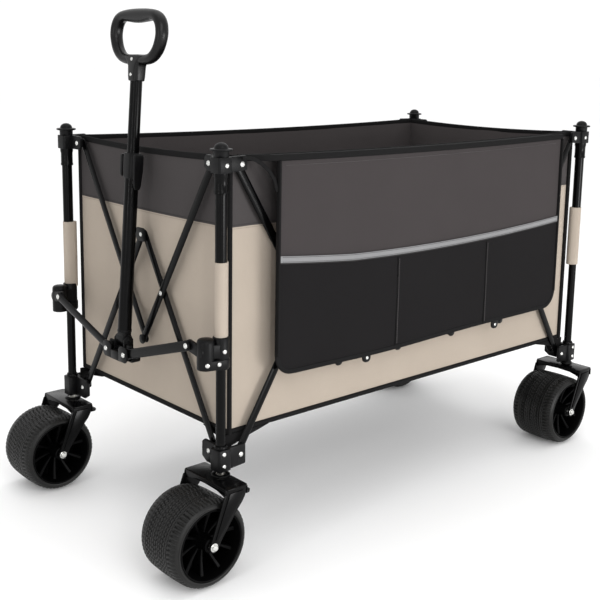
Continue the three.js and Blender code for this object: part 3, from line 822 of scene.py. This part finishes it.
def build_grip():
    bm = bmesh.new()
    loft(bm, [(519.8, 13.5, 12.3, 9), (521.5, 15.2, 13.2, 9), (528, 16, 13.7, 9), (548, 16.6, 13.9, 8),
              (556, 20, 13.7, 8), (563, 28, 13, 8), (568, 36, 11.5, 8)])
    low, top = 562.0, 649.2
    keys = [(0, low), (32, low), (53, low + 5), (69, low + 18), (78, low + 35), (81, low + 52),
            (76, top - 17), (62, top - 5), (35, top - 0.8), (0, top + 0.3)]
    keys += [(-u, s) for u, s in reversed(keys[1:-1])]
    pts = smooth_loop(keys, 132)
    n = len(pts)
    ring_list = []
    for i, (u, s) in enumerate(pts):
        a, b = pts[(i - 1) % n], pts[(i + 1) % n]
        du, ds = b[0] - a[0], b[1] - a[1]
        length = math.hypot(du, ds)
        nu, ns = ds / length, -du / length
        share = max(0.0, min(1.0, (s - low) / (top - low)))
        palm = max(0.0, math.cos(min(1.0, abs(u) / 50) * math.pi / 2)) if s > top - 14 else 0.0
        thick = 11.2 + 0.9 * share
        depth = 12.6 + 1.6 * share
        ring = []
        for k in range(20):
            t = 2 * math.pi * k / 20
            inward = 0.9 + 0.52 * palm * max(0.0, -math.cos(t))
            ring.append(bm.verts.new(pole(u + nu * thick * math.cos(t) * inward, depth * math.sin(t),
                                          s + ns * thick * math.cos(t) * inward)))
        ring_list.append(ring)
    for a, b in zip(ring_list, ring_list[1:] + ring_list[:1]):
        ring_faces(bm, a, b)
    finish_piece("grip_loop", bm, "grip", "pole_inner", ["grip"])
    bm = bmesh.new()
    for s, front in ((532, -13.9), (562, -13.4)):
        rivet(bm, pole(0, front, s), POLE_FRONT, 3.4, 1.4)
    finish_piece("grip_rivets", bm, "rivet", "pole_inner")


def smooth_loop(keys, count):
    """A closed Catmull-Rom curve through keys, count points."""
    n = len(keys)
    out = []
    for i in range(count):
        f = i / count * n
        k = int(f)
        t = f - k
        p = [keys[(k + j - 1) % n] for j in range(4)]
        out.append(tuple(0.5 * (2 * b + (c - a) * t + (2 * a - 5 * b + 4 * c - d) * t * t
                                + (3 * b - a - 3 * c + d) * t ** 3) for a, b, c, d in zip(*p)))
    return out


OUTER_PIN, INNER_PIN = (241.0, 441.0), (33.0, 374.5)
LINK_Y, HUB_Y = -612.8, -623.6           # the links' inner faces and the hub's front face
DRUM_X, DRUM_Y, DRUM_R = 273.0, -595.5, 16.8


def build_links():
    for side, name in ((-1, "left"), (1, "right")):
        body = f"handle_link_{name}"
        bm = bmesh.new()
        crowned_bar(bm, (side * OUTER_PIN[0], OUTER_PIN[1]), (side * INNER_PIN[0], INNER_PIN[1]), 20, 5.6,
                    lambda u, v, w: P(u, LINK_Y - w, v))
        finish_piece(f"link_tube_{name}", bm, "steel", body, [body], smooth=math.radians(60))
        bm = bmesh.new()
        rivet(bm, P(side * OUTER_PIN[0], LINK_Y - 5.2, OUTER_PIN[1]), FORWARD, 5.4, 2.4)
        finish_piece(f"link_rivets_{name}", bm, "rivet", body)


def build_hub():
    bm = bmesh.new()
    prism(bm, rounded(45, 12, 6, 5), lambda u, v, w: P(u, -609 + w, 369 + v), 19)
    prism(bm, [(-19.4, 357), (19.4, 357), (19.4, 375), (-19.4, 375)],
          lambda u, v, w: P(u, HUB_Y + 1 + w, v), 30)
    prism(bm, [(-14, 374), (14, 374), (14, 384), (-14, 384)], lambda u, v, w: P(u, -611 + w, v), 21)
    for side in (-1, 1):
        plate = [(14, 358), (38, 358), (45, 365), (45, 385), (40, 391), (22, 391), (14, 384)]
        for front in (HUB_Y, -609):
            prism(bm, [(side * u, v) for u, v in plate], lambda u, v, w: P(u, front + w, v), 4.4)
        ear = [(-612, 359), (-590, 359), (-590, 399), (-594, 405), (-600, 408), (-607, 405), (-612, 399)]
        x0 = 14 if side > 0 else -19.4
        prism(bm, ear, lambda u, v, w: P(x0 + w, u, v), 5.4)
    prism(bm, [(-15, 358), (15, 358), (15, 376), (-15, 376)], lambda u, v, w: P(u, HUB_Y + w, v), 4.4)
    finish_piece("handle_hub_block", bm, "plastic", "handle_hub", ["handle_hub"], bevel=1.1)
    bm = bmesh.new()
    for side in (-1, 1):
        rivet(bm, P(side * 19.4, POLE_Y, POLE_Z), (side, 0, 0), 4.6, 1.8, 1)
        rivet(bm, P(side * INNER_PIN[0], HUB_Y, INNER_PIN[1]), FORWARD, 5.4, 2.4)
    finish_piece("handle_hub_pins", bm, ["rivet", "plastic"], "handle_hub")


def clamp_band(bm, x, dx, low, high, leg_r, drum_r):
    """A band round the leg and the drum ahead of it, from low to high."""
    outline = []
    for i in range(13):
        t = math.radians(-2 + 184 * i / 12)
        outline.append((x + leg_r * math.cos(t), -LEG_Y + leg_r * math.sin(t)))
    for i in range(13):
        t = math.radians(182 + 176 * i / 12)
        outline.append((dx + drum_r * math.cos(t), DRUM_Y + drum_r * math.sin(t)))
    prism(bm, outline, lambda u, v, w: P(u, v, low + w), high - low)


def build_clamp(name, sx):
    x, y, dx = sx * LEG_X, -LEG_Y, sx * DRUM_X
    body = LEG_BODY[f"front_{name}"]
    bm = bmesh.new()
    ring = [(9.5, 397), (14.5, 397), (15.5, 398.5), (15.5, 457.5), (14.5, 459), (9.5, 459)]
    lathe(bm, ring, P(x, y, 0), UP, 40, closed=True)
    drum = [(0, 402), (14, 402), (16.6, 405), (DRUM_R, 412), (DRUM_R, 451), (15.8, 455), (13.4, 457.4),
            (9, 458.6), (0, 459)]
    lathe(bm, drum, P(dx, DRUM_Y, 0), UP, 48)
    clamp_band(bm, x, dx, 400, 418, 17, DRUM_R)
    clamp_band(bm, x, dx, 421, 447, 14.5, 12)
    ear = bar_outline((sx * OUTER_PIN[0], OUTER_PIN[1]), (dx, OUTER_PIN[1] - 6), 22, 8)
    prism(bm, ear, lambda u, v, w: P(u, -605 - w, v), 6.8)
    finish_piece(f"clamp_block_{name}", bm, "plastic", body, [f"handle_clamp_{name}"],
                 bevel=1.0)
    bm = bmesh.new()
    rivet(bm, P(sx * 294.4, -580, 411), (sx, 0, 0), 4.4, 2.0)
    rivet(bm, P(x + sx * 15.0, y - 2, 433), (sx, 0, 0), 4.4, 2.0)
    rivet(bm, P(dx + sx * 15.2, DRUM_Y - 7.1, 411), (sx * 0.906, -0.423, 0), 4.4, 2.0)
    finish_piece(f"clamp_rivets_{name}", bm, "rivet", body)


build_pole()
build_grip()
build_links()
build_hub()
build_clamp("left", -1)
build_clamp("right", 1)


# ---------------------------------------------------------------- fabric
SHRINK = math.cos(ANGLE_FOLDED) / math.cos(ANGLE)
WALL_X, WALL_Y = 266.0, 538.0
BAND_Z, RIM_Z, BOTTOM_Z = 657.0, 792.0, 258.0
CANVAS_THICK, RIM_DIP = 1.8, 7.0
KEEP_X = 1 - FRONT_SPAN * (1 - SHRINK) / (2 * WALL_X)
KEEP_Y = 1 - SIDE_SPAN * (1 - SHRINK) / (2 * WALL_Y)
ALONG = (0, 1, 0)


def rim_sag(t):
    """The rim's dip in mm at t from 0 to 1 along a wall."""
    return RIM_DIP * math.sin(math.pi * t) ** 0.8


def side_sag(y):
    """The rim's dip in mm on a long side, at y."""
    return rim_sag((y + WALL_Y - 2) / (2 * WALL_Y - 4))


def drape(u, v, seed, depth):
    """A soft inward dip of cloth, in mm, never outward."""
    big = noise.noise(Vector((u * 0.0045, v * 0.005, seed)))
    mid = noise.noise(Vector((u * 0.012 + v * 0.006, v * 0.009, seed + 7.3)))
    small = noise.noise(Vector((u * 0.03, v * 0.026, seed + 19.1)))
    return depth * (0.5 + 0.45 * big + 0.22 * mid) + 0.35 * small


def between(ends, t):
    """The ground point at t from 0 to 1 between two ground points."""
    (x0, y0), (x1, y1) = ends
    return x0 + (x1 - x0) * t, y0 + (y1 - y0) * t


def cloth_wall(name, ends, outward, seed, body, depth):
    """One wall of the basket between two ground points: two skins, with a charcoal band above."""
    length = math.dist(*ends)
    nu = max(24, int(length / 12))
    zs = [BOTTOM_Z + (BAND_Z - BOTTOM_Z) * i / 30 for i in range(31)]
    zs += [BAND_Z + 0.01 + (RIM_Z - 4 - BAND_Z) * i / 12 for i in range(1, 13)]
    out = Vector(outward)
    bm = bmesh.new()
    skins = []
    for inset in (0.0, CANVAS_THICK):
        grid = []
        for z in zs:
            row = []
            for i in range(nu + 1):
                t = i / nu
                u, v = t * length, z - BOTTOM_Z
                edge = min(1.0, min(u, length - u) / 60.0) * min(1.0, v / 40.0) * min(1.0, (RIM_Z - z) / 40.0)
                dip = drape(u, v, seed, depth) * max(0.0, edge)
                height = z - rim_sag(t) * (v / (RIM_Z - BOTTOM_Z)) ** 3
                row.append(bm.verts.new(P(*between(ends, t), height) - out * ((dip + inset) * MM)))
            grid.append(row)
        skins.append(grid)
    outer, inner = skins
    grid_faces(bm, outer, False, lambda j: 0 if zs[j + 1] <= BAND_Z + 0.02 else 1)
    grid_faces(bm, inner, True, lambda j: 2)
    close_edges(bm, outer, inner, 1)
    obj = finish_piece(name, bm, ["beige", "charcoal", "inside"], body)
    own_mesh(obj)
    return obj


def tape(name, path, section, body, axis, keep, slot="basket_canvas"):
    """A binding or piping along path; where it has an axis it gets a mesh of its own."""
    bm = bmesh.new()
    sweep(bm, path, section)
    obj = finish_piece(name, bm, "binding", body)
    if axis:
        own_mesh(obj)
    return obj


WALLS = {
    "front": (((-WALL_X, -WALL_Y), (WALL_X, -WALL_Y)), (0, -1, 0), "frame", (1, 0, 0), KEEP_X, 1.3),
    "rear": (((WALL_X, WALL_Y), (-WALL_X, WALL_Y)), (0, 1, 0), "leg_rear_left", (1, 0, 0), KEEP_X, 2.9),
    "left": (((-WALL_X - 1, WALL_Y - 2), (-WALL_X - 1, 2 - WALL_Y)), (-1, 0, 0), "frame", ALONG, KEEP_Y, 4.1),
    "right": (((WALL_X + 1, 2 - WALL_Y), (WALL_X + 1, WALL_Y - 2)), (1, 0, 0), "leg_front_right",
              ALONG, KEEP_Y, 6.7),
}
WALL_DEPTH = 5.0        # how far the cloth may dip inward, in mm

for key, (ends, out, body, axis, keep, seed) in WALLS.items():
    wall = cloth_wall(f"basket_wall_{key}", ends, out, seed, body, WALL_DEPTH)
    if key == "front":
        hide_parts("basket")
    shares = [i / 40 for i in range(41)]
    rim = [P(*between(ends, t), RIM_Z - 6 - rim_sag(t)) for t in shares]
    tape(f"rim_binding_{key}", rim, rounded(2.6, 6, 2.2, 3), body, axis, keep)
    foot = [P(*between(ends, t), BOTTOM_Z + 4) for t in shares]
    tape(f"bottom_piping_{key}", foot, oval(3.4, 5.2, 12), body, axis, keep)

for corner, sx, sy in CORNERS:
    post = [P(sx * (WALL_X + 4), sy * WALL_Y, z) for z in range(259, 792, 13)]
    tape(f"corner_piping_{corner}", post, oval(4.8, 4.8, 12), LEG_BODY[corner], None, None)


def cloth_floor():
    """The floor in two halves, which slide over each other when the cart folds."""
    strips = {"left": (-WALL_X, 2, "frame", 0.0), "right": (-2, WALL_X, "leg_front_right", 2.4)}
    for key, (x0, x1, body, lift) in strips.items():
        bm = bmesh.new()
        nx, ny = max(6, int((x1 - x0) / 14)), 80
        grid = []
        for thick in (0.0, 1.6):
            rows = []
            for j in range(ny + 1):
                y = -WALL_Y + 2 * WALL_Y * j / ny
                row = []
                for i in range(nx + 1):
                    x = x0 + (x1 - x0) * i / nx
                    wave = 1.2 + 1.2 * noise.noise(Vector((x * 0.01, y * 0.01, 3.3)))
                    edge = min(1.0, (WALL_X + 2 - abs(x)) / 40, (WALL_Y + 2 - abs(y)) / 40)
                    row.append(bm.verts.new(P(x, y, BOTTOM_Z + 0.4 + lift + wave * edge + thick)))
                rows.append(row)
            grid.append(rows)
        grid_faces(bm, grid[0], True)
        grid_faces(bm, grid[1], False)
        close_edges(bm, *grid)
        obj = finish_piece(f"basket_floor_{key}", bm, "floor_cloth", body)
        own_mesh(obj)


cloth_floor()


def build_gusset(corner, sx, sy):
    """The floor cloth's black corner that reaches out to the bottom bracket."""
    bm = bmesh.new()
    tip = [(sx * 272, sy * 551), (sx * 265, sy * 551)]
    top, low = [], []
    outline = [(sx * 268, sy * 470), (sx * 240, sy * 470), (sx * 190, sy * 538), (sx * 190, sy * 540.5),
               (sx * 250, sy * 545), tip[1], tip[0], (sx * 270, sy * 545)]
    heights = [256.6, 256.6, 256.6, 256.6, 248, 240, 240, 248]
    for (x, y), z in zip(outline, heights):
        top.append(bm.verts.new(P(x, y, z)))
        low.append(bm.verts.new(P(x, y, z - 1.4)))
    ring_faces(bm, low, top)
    cap_ring(bm, top)
    cap_ring(bm, low, 0, True)
    wing = [(440, 258), (500, 244), (551, 229), (551, 258)]
    prism(bm, [(sy * v, z) for v, z in wing], lambda u, v, w: P(sx * (269.4 + w), u, v), 1.4)
    finish_piece(f"corner_gusset_{corner}", bm, "binding", LEG_BODY[corner])


def build_sleeve(corner, sx, sy):
    """The beige cloth sleeve that laces the basket to the leg."""
    x, y = sx * LEG_X, sy * LEG_Y
    bm = bmesh.new()
    rings = []
    n = 36
    inward = math.atan2(-sy * 26, -sx * 12)
    for z in (452, 452.6, 454, 470, 490, 515, 540, 565, 585, 597, 598.4, 599):
        ring = []
        for i in range(n):
            a = 2 * math.pi * i / n
            r = 12.3 + 0.3 * noise.noise(Vector((math.cos(a) * 2, math.sin(a) * 2, z * 0.03 + sx + 2 * sy)))
            toward = max(0.0, math.cos(a - inward)) ** 3
            r += 5.5 * toward
            if z in (452, 599):
                r -= 1.0
            ring.append(bm.verts.new(P(x + r * math.cos(a), y + r * math.sin(a), z)))
        rings.append(ring)
    for z in (599, 452):
        rings.append([bm.verts.new(P(x + u, y + v, z)) for u, v in oval(11.6, 11.6, n)])
    for a, b in zip(rings, rings[1:] + rings[:1]):
        ring_faces(bm, a, b)
    finish_piece(f"leg_sleeve_{corner}", bm, "beige", LEG_BODY[corner])


for corner, sx, sy in CORNERS:
    build_gusset(corner, sx, sy)
    build_sleeve(corner, sx, sy)


PANEL_X, PANEL_END, PANEL_TOP, PANEL_CORNER = 302.6, 450.0, 783.0, 38.0
STRIP_HIGH = 13.0
PANEL_BODY = "leg_front_right"
SIDE_FOLD = (ALONG, KEEP_Y)


def panel_x(y, z):
    """The soft waves of the side panel's cloth, in mm outward."""
    wave = noise.noise(Vector((y * 0.006, z * 0.007, 11.0)))
    fine = noise.noise(Vector((y * 0.02 + z * 0.01, z * 0.016, 5.0)))
    return 0.9 * wave + 0.5 * fine


def strip_z(y):
    """The reflective strip's middle height: it sags between its ends."""
    return 585.0 - 16.0 * (1 - (y / PANEL_END) ** 2) + 8.0 * max(0.0, min(1.0, (-y - 250.0) / 200.0))


def panel_edge(y):
    """The panel's lowest point at y, with rounded corners and a slight sag."""
    d = PANEL_END - abs(y)
    low = 366.5 - 5.5 * math.exp(-((y + 150.0) / 200.0) ** 2)
    r = PANEL_CORNER
    if d < r:
        return low + r - math.sqrt(max(0.0, r ** 2 - (r - d) ** 2))
    return low


def cloth_sheet(name, rows, mats, thick, x_of, replaces=()):
    """A hanging sheet facing +X from rows of (y, z) points; x_of gives its outer face in mm."""
    bm = bmesh.new()
    grids = [[[bm.verts.new(P(x_of(y, z) - inset, y, z)) for y, z in row] for row in rows]
             for inset in (0.0, thick)]
    grid_faces(bm, grids[0], False)
    grid_faces(bm, grids[1], True)
    close_edges(bm, *grids)
    obj = finish_piece(name, bm, mats, PANEL_BODY, replaces)
    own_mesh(obj)
    return obj


def panel_tape(name, path, section):
    tape(name, path, section, PANEL_BODY, *SIDE_FOLD, slot="pocket_canvas")


def waved(x):
    """The outer face of a cloth that lies x mm out and follows the panel's waves."""
    return lambda y, z: x + panel_x(y, z)


def pocket_x(y, z):
    puff = 1.2 * math.sin(math.pi * min(1.0, max(0.0, (z - 360) / 224)))
    return PANEL_X + 2.2 + panel_x(y, z) + puff


def build_panel_cloth():
    wide = 2 * (PANEL_END - 2)
    ys = [-wide / 2 + wide * i / 96 for i in range(97)]

    def rows_up_to(top_of):
        return [[(y, panel_edge(y) + 2 + (top_of(y) - panel_edge(y) - 2) * j / 34) for y in ys]
                for j in range(35)]
    cloth_sheet("side_panel_cloth", rows_up_to(lambda y: PANEL_TOP - side_sag(y)), "panel", 2.0,
                waved(PANEL_X), ["side_panel"])
    cloth_sheet("pocket_cloth", rows_up_to(lambda y: strip_z(y) - 6), "pocket", 1.4, pocket_x)
    rows = [[(y, strip_z(y) - STRIP_HIGH / 2 + STRIP_HIGH * j / 3) for y in ys] for j in range(4)]
    cloth_sheet("reflective_strip", rows, "strip", 1.2, waved(PANEL_X + 3.6))
    rows = [[(y, strip_z(y) - 9.0 + 2.6 * j) for y in ys] for j in range(2)]
    cloth_sheet("pocket_hem", rows, "thread", 1.2, waved(PANEL_X + 4))


def build_panel_bindings():
    side, foot = PANEL_END - 1, 404
    for k, y in enumerate((side, -side)):
        path = [P(PANEL_X + 1, y, z) for z in range(foot, 783, 15)]
        panel_tape(f"panel_side_binding_{k}", path, rounded(5.5, 2.6, 2.0, 3))
    path = []
    for i in range(9):
        t = math.radians(90 * i / 8)
        path.append((-side + PANEL_CORNER * (1 - math.cos(t)), foot - PANEL_CORNER * math.sin(t)))
    path += [(y, panel_edge(y)) for y in range(-400, 401, 16)]
    path += [(-y, z) for y, z in reversed(path[:9])]
    lower = [P(PANEL_X + 1.2, y, z + 1.5) for y, z in path]
    panel_tape("panel_lower_binding", lower, rounded(2.6, 5.0, 2.0, 3))
    top = []
    for y in range(-522, 451, 12):
        ease = min(1.0, (y + 522) / 72)
        top.append(P(272 + 30 * ease * ease * (3 - 2 * ease), y, PANEL_TOP + 4 - side_sag(y)))
    panel_tape("panel_top_binding", top, rounded(4.2, 6, 2.2, 3))


def build_panel_bridge():
    """The strip of tape that joins the panel's top to the basket's rim."""
    bm = bmesh.new()
    section = [(WALL_X, 789), (302, 787), (302, 789), (WALL_X, 791)]
    rings = []
    for y in [-446 + 892 * i / 60 for i in range(61)]:
        rings.append([bm.verts.new(P(x, y, z - side_sag(y))) for x, z in section])
    for a, b in zip(rings, rings[1:]):
        ring_faces(bm, a, b)
    cap_ring(bm, rings[0])
    cap_ring(bm, rings[-1], 0, True)
    obj = finish_piece("panel_bridge", bm, "binding", PANEL_BODY)
    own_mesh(obj)


build_panel_cloth()
build_panel_bindings()
build_panel_bridge()


STITCH_LONG, STITCH_STEP, STITCH_HALF, STITCH_PROUD = 3.2, 5.0, 0.45, 0.5


def stitches(name, path, out, body, axis, keep, key="thread"):
    """A row of short stitches along path, a list of points in metres, standing a little out of the cloth."""
    bm = bmesh.new()
    along = [0.0]
    for a, b in zip(path, path[1:]):
        along.append(along[-1] + (b - a).length / MM)
    lift = Vector(out) * (STITCH_PROUD * MM)
    k, at = 0, STITCH_STEP
    while at + STITCH_LONG < along[-1]:
        ends = []
        for d in (at, at + STITCH_LONG):
            while along[k + 1] < d:
                k += 1
            t = (d - along[k]) / (along[k + 1] - along[k])
            ends.append(path[k].lerp(path[k + 1], t))
        tangent = (ends[1] - ends[0]).normalized()
        side = tangent.cross(Vector(out)).normalized() * (STITCH_HALF * MM)
        section = (side - lift, side * 0.6 + lift, -side * 0.6 + lift, -side - lift)
        rings = [[bm.verts.new(p + d) for d in section] for p in ends]
        ring_faces(bm, rings[0], rings[1])
        cap_ring(bm, rings[0])
        cap_ring(bm, rings[1], 0, True)
        at += STITCH_STEP
    obj = finish_piece(name, bm, key, body)
    if axis:
        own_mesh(obj)
    return obj


DIVIDERS_Y, TABS_Y = (-120, 175), (-204, 222)


def build_pocket_details():
    """The pocket's two divider seams, the stitched rows on the panel and the strap at its front corner."""
    out = (1, 0, 0)
    pocket_face, panel_face = waved(PANEL_X + 3.8), waved(PANEL_X + 0.4)
    for k, y in enumerate(DIVIDERS_Y):
        line = [P(pocket_face(y, z), y, z) for z in range(366, int(strip_z(y)) - 8, 8)]
        panel_tape(f"pocket_divider_{k}", line, rounded(1.4, 0.8, 0.6, 2))
        beside = [p + Vector((0.8 * MM, 3 * MM, 0)) for p in line]
        stitches(f"pocket_divider_stitch_{k}", beside, out, PANEL_BODY, *SIDE_FOLD, key="thread_grey")
    for k, drop in enumerate((4.6, -4.6)):
        line = [P(pocket_face(y, strip_z(y)), y, strip_z(y) + drop) for y in range(-444, 445, 12)]
        stitches(f"strip_stitch_{k}", line, out, PANEL_BODY, *SIDE_FOLD)
    line = [P(panel_face(y, 760), y, 772 - side_sag(y)) for y in range(-436, 437, 12)]
    stitches("panel_top_stitch", line, out, PANEL_BODY, *SIDE_FOLD, key="thread_grey")
    strap = [P(297, -530, 789), P(299, -516, 787.5), P(300, -504, 784), P(301, -489, 776), P(302, -473, 763),
             P(303, -460, 745), P(303.5, -453, 722)]
    panel_tape("panel_front_strap", strap, rounded(0.9, 3.6, 0.7, 2))


build_pocket_details()


def build_wall_seams():
    """Two stitched rows on each wall, above and below the seam of the charcoal band."""
    for key, (ends, out, body, axis, keep, seed) in WALLS.items():
        length = math.dist(*ends)
        n = int(length / 12)
        for k, z in enumerate((BAND_Z + 4.0, BAND_Z - 3.0)):
            line = []
            for i in range(n + 1):
                t = i / n
                u, v = t * length, z - BOTTOM_Z
                edge = min(1.0, min(u, length - u) / 60.0) * min(1.0, (RIM_Z - z) / 40.0)
                dip = drape(u, v, seed, WALL_DEPTH) * edge
                height = z - rim_sag(t) * (v / (RIM_Z - BOTTOM_Z)) ** 3
                line.append(P(*between(ends, t), height) - Vector(out) * ((dip - 0.2) * MM))
            thread = "thread" if k == 0 else "thread_beige"
            stitches(f"wall_stitch_{key}_{k}", line, out, body, axis, keep, thread)


build_wall_seams()


def build_tabs():
    """The two black lugs that show below the side panel."""
    for k, y in enumerate(TABS_Y):
        bm = bmesh.new()
        prism(bm, rounded(11, 11, 9, 5), lambda u, v, w: P(300.5 + w, y + u, 356 + v), 4.4)
        rivet(bm, P(304.9, y, 354.5), (1, 0, 0), 3.8, 1.6, 1)
        obj = finish_piece(f"panel_tab_{k}", bm, ["plastic", "rivet"], PANEL_BODY, bevel=0.8)
        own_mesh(obj)


build_tabs()


# ---------------------------------------------------------------- stage and light
def build_stage():
    bm = bmesh.new()
    half = 45.0
    bm.faces.new([bm.verts.new((x * half, y * half, 0)) for x, y in ((-1, -1), (1, -1), (1, 1), (-1, 1))])
    mesh = bpy.data.meshes.new("studio_floor")
    bm.to_mesh(mesh)
    bm.free()
    floor = bpy.data.objects.new("studio_floor", mesh)
    bpy.context.scene.collection.objects.link(floor)
    m = Nodes("studio_floor", (0.955, 0.955, 0.955), 0.85)
    m.tint(m.noise(0.6, 2.0), 0.01)
    mesh.materials.append(m.mat)
    world = bpy.data.worlds.new("studio")
    bpy.context.scene.world = world
    world.use_nodes = True
    world.node_tree.nodes["Background"].inputs["Color"].default_value = (1, 1, 1, 1)
    world.node_tree.nodes["Background"].inputs["Strength"].default_value = 1.06


def softbox(name, where, target, size, power):
    data = bpy.data.lights.new(name, "AREA")
    data.shape = "RECTANGLE"
    data.size, data.size_y = size
    data.energy = power
    obj = bpy.data.objects.new(name, data)
    bpy.context.scene.collection.objects.link(obj)
    obj.location = where
    obj.rotation_euler = (Vector(target) - Vector(where)).to_track_quat("-Z", "Y").to_euler()


build_stage()
softbox("key", (3.3, -1.25, 2.6), (0, 0, 0.5), (1.6, 1.6), 33)
softbox("side", (3.4, 0.7, 0.35), (0, 0, 0.3), (1.4, 0.6), 50)
softbox("fill", (-2.4, -2.6, 1.6), (0, 0, 0.5), (1.6, 2.2), 1)
softbox("strip_front", (0.9, -3.6, 1.0), (0, -0.5, 0.5), (0.05, 1.5), 12)
softbox("strip_side", (3.4, -1.9, 1.0), (0.2, -0.5, 0.5), (0.05, 1.5), 12)
softbox("top", (0, 0.2, 3.4), (0, 0, 0.4), (2.4, 3.0), 20)
bpy.context.scene.view_settings.view_transform = "Standard"


def declare_sheets():
    """Looks up every cloth piece by name and does nothing more with them."""
    get = bpy.data.objects.get
    for key, wall in WALLS.items():
        get(f"basket_wall_{key}")
        get(f"rim_binding_{key}")
        get(f"bottom_piping_{key}")
        get(f"wall_stitch_{key}_0")
        get(f"wall_stitch_{key}_1")
    for key, wide in (("left", 0.268), ("right", 0.268)):
        get(f"basket_floor_{key}")
    for corner in LEG_BODY:
        get(f"leg_sleeve_{corner}")
        get(f"corner_gusset_{corner}")
    get("side_panel_cloth")
    get("panel_top_binding")
    get("panel_lower_binding")
    get("panel_side_binding_0")
    get("panel_side_binding_1")
    get("panel_top_stitch")
    get("pocket_cloth")
    get("pocket_hem")
    get("pocket_divider_0")
    get("pocket_divider_1")
    get("reflective_strip")
    get("strip_stitch_0")
    get("strip_stitch_1")
    get("panel_bridge")


declare_sheets()

bpy.context.view_layer.update()
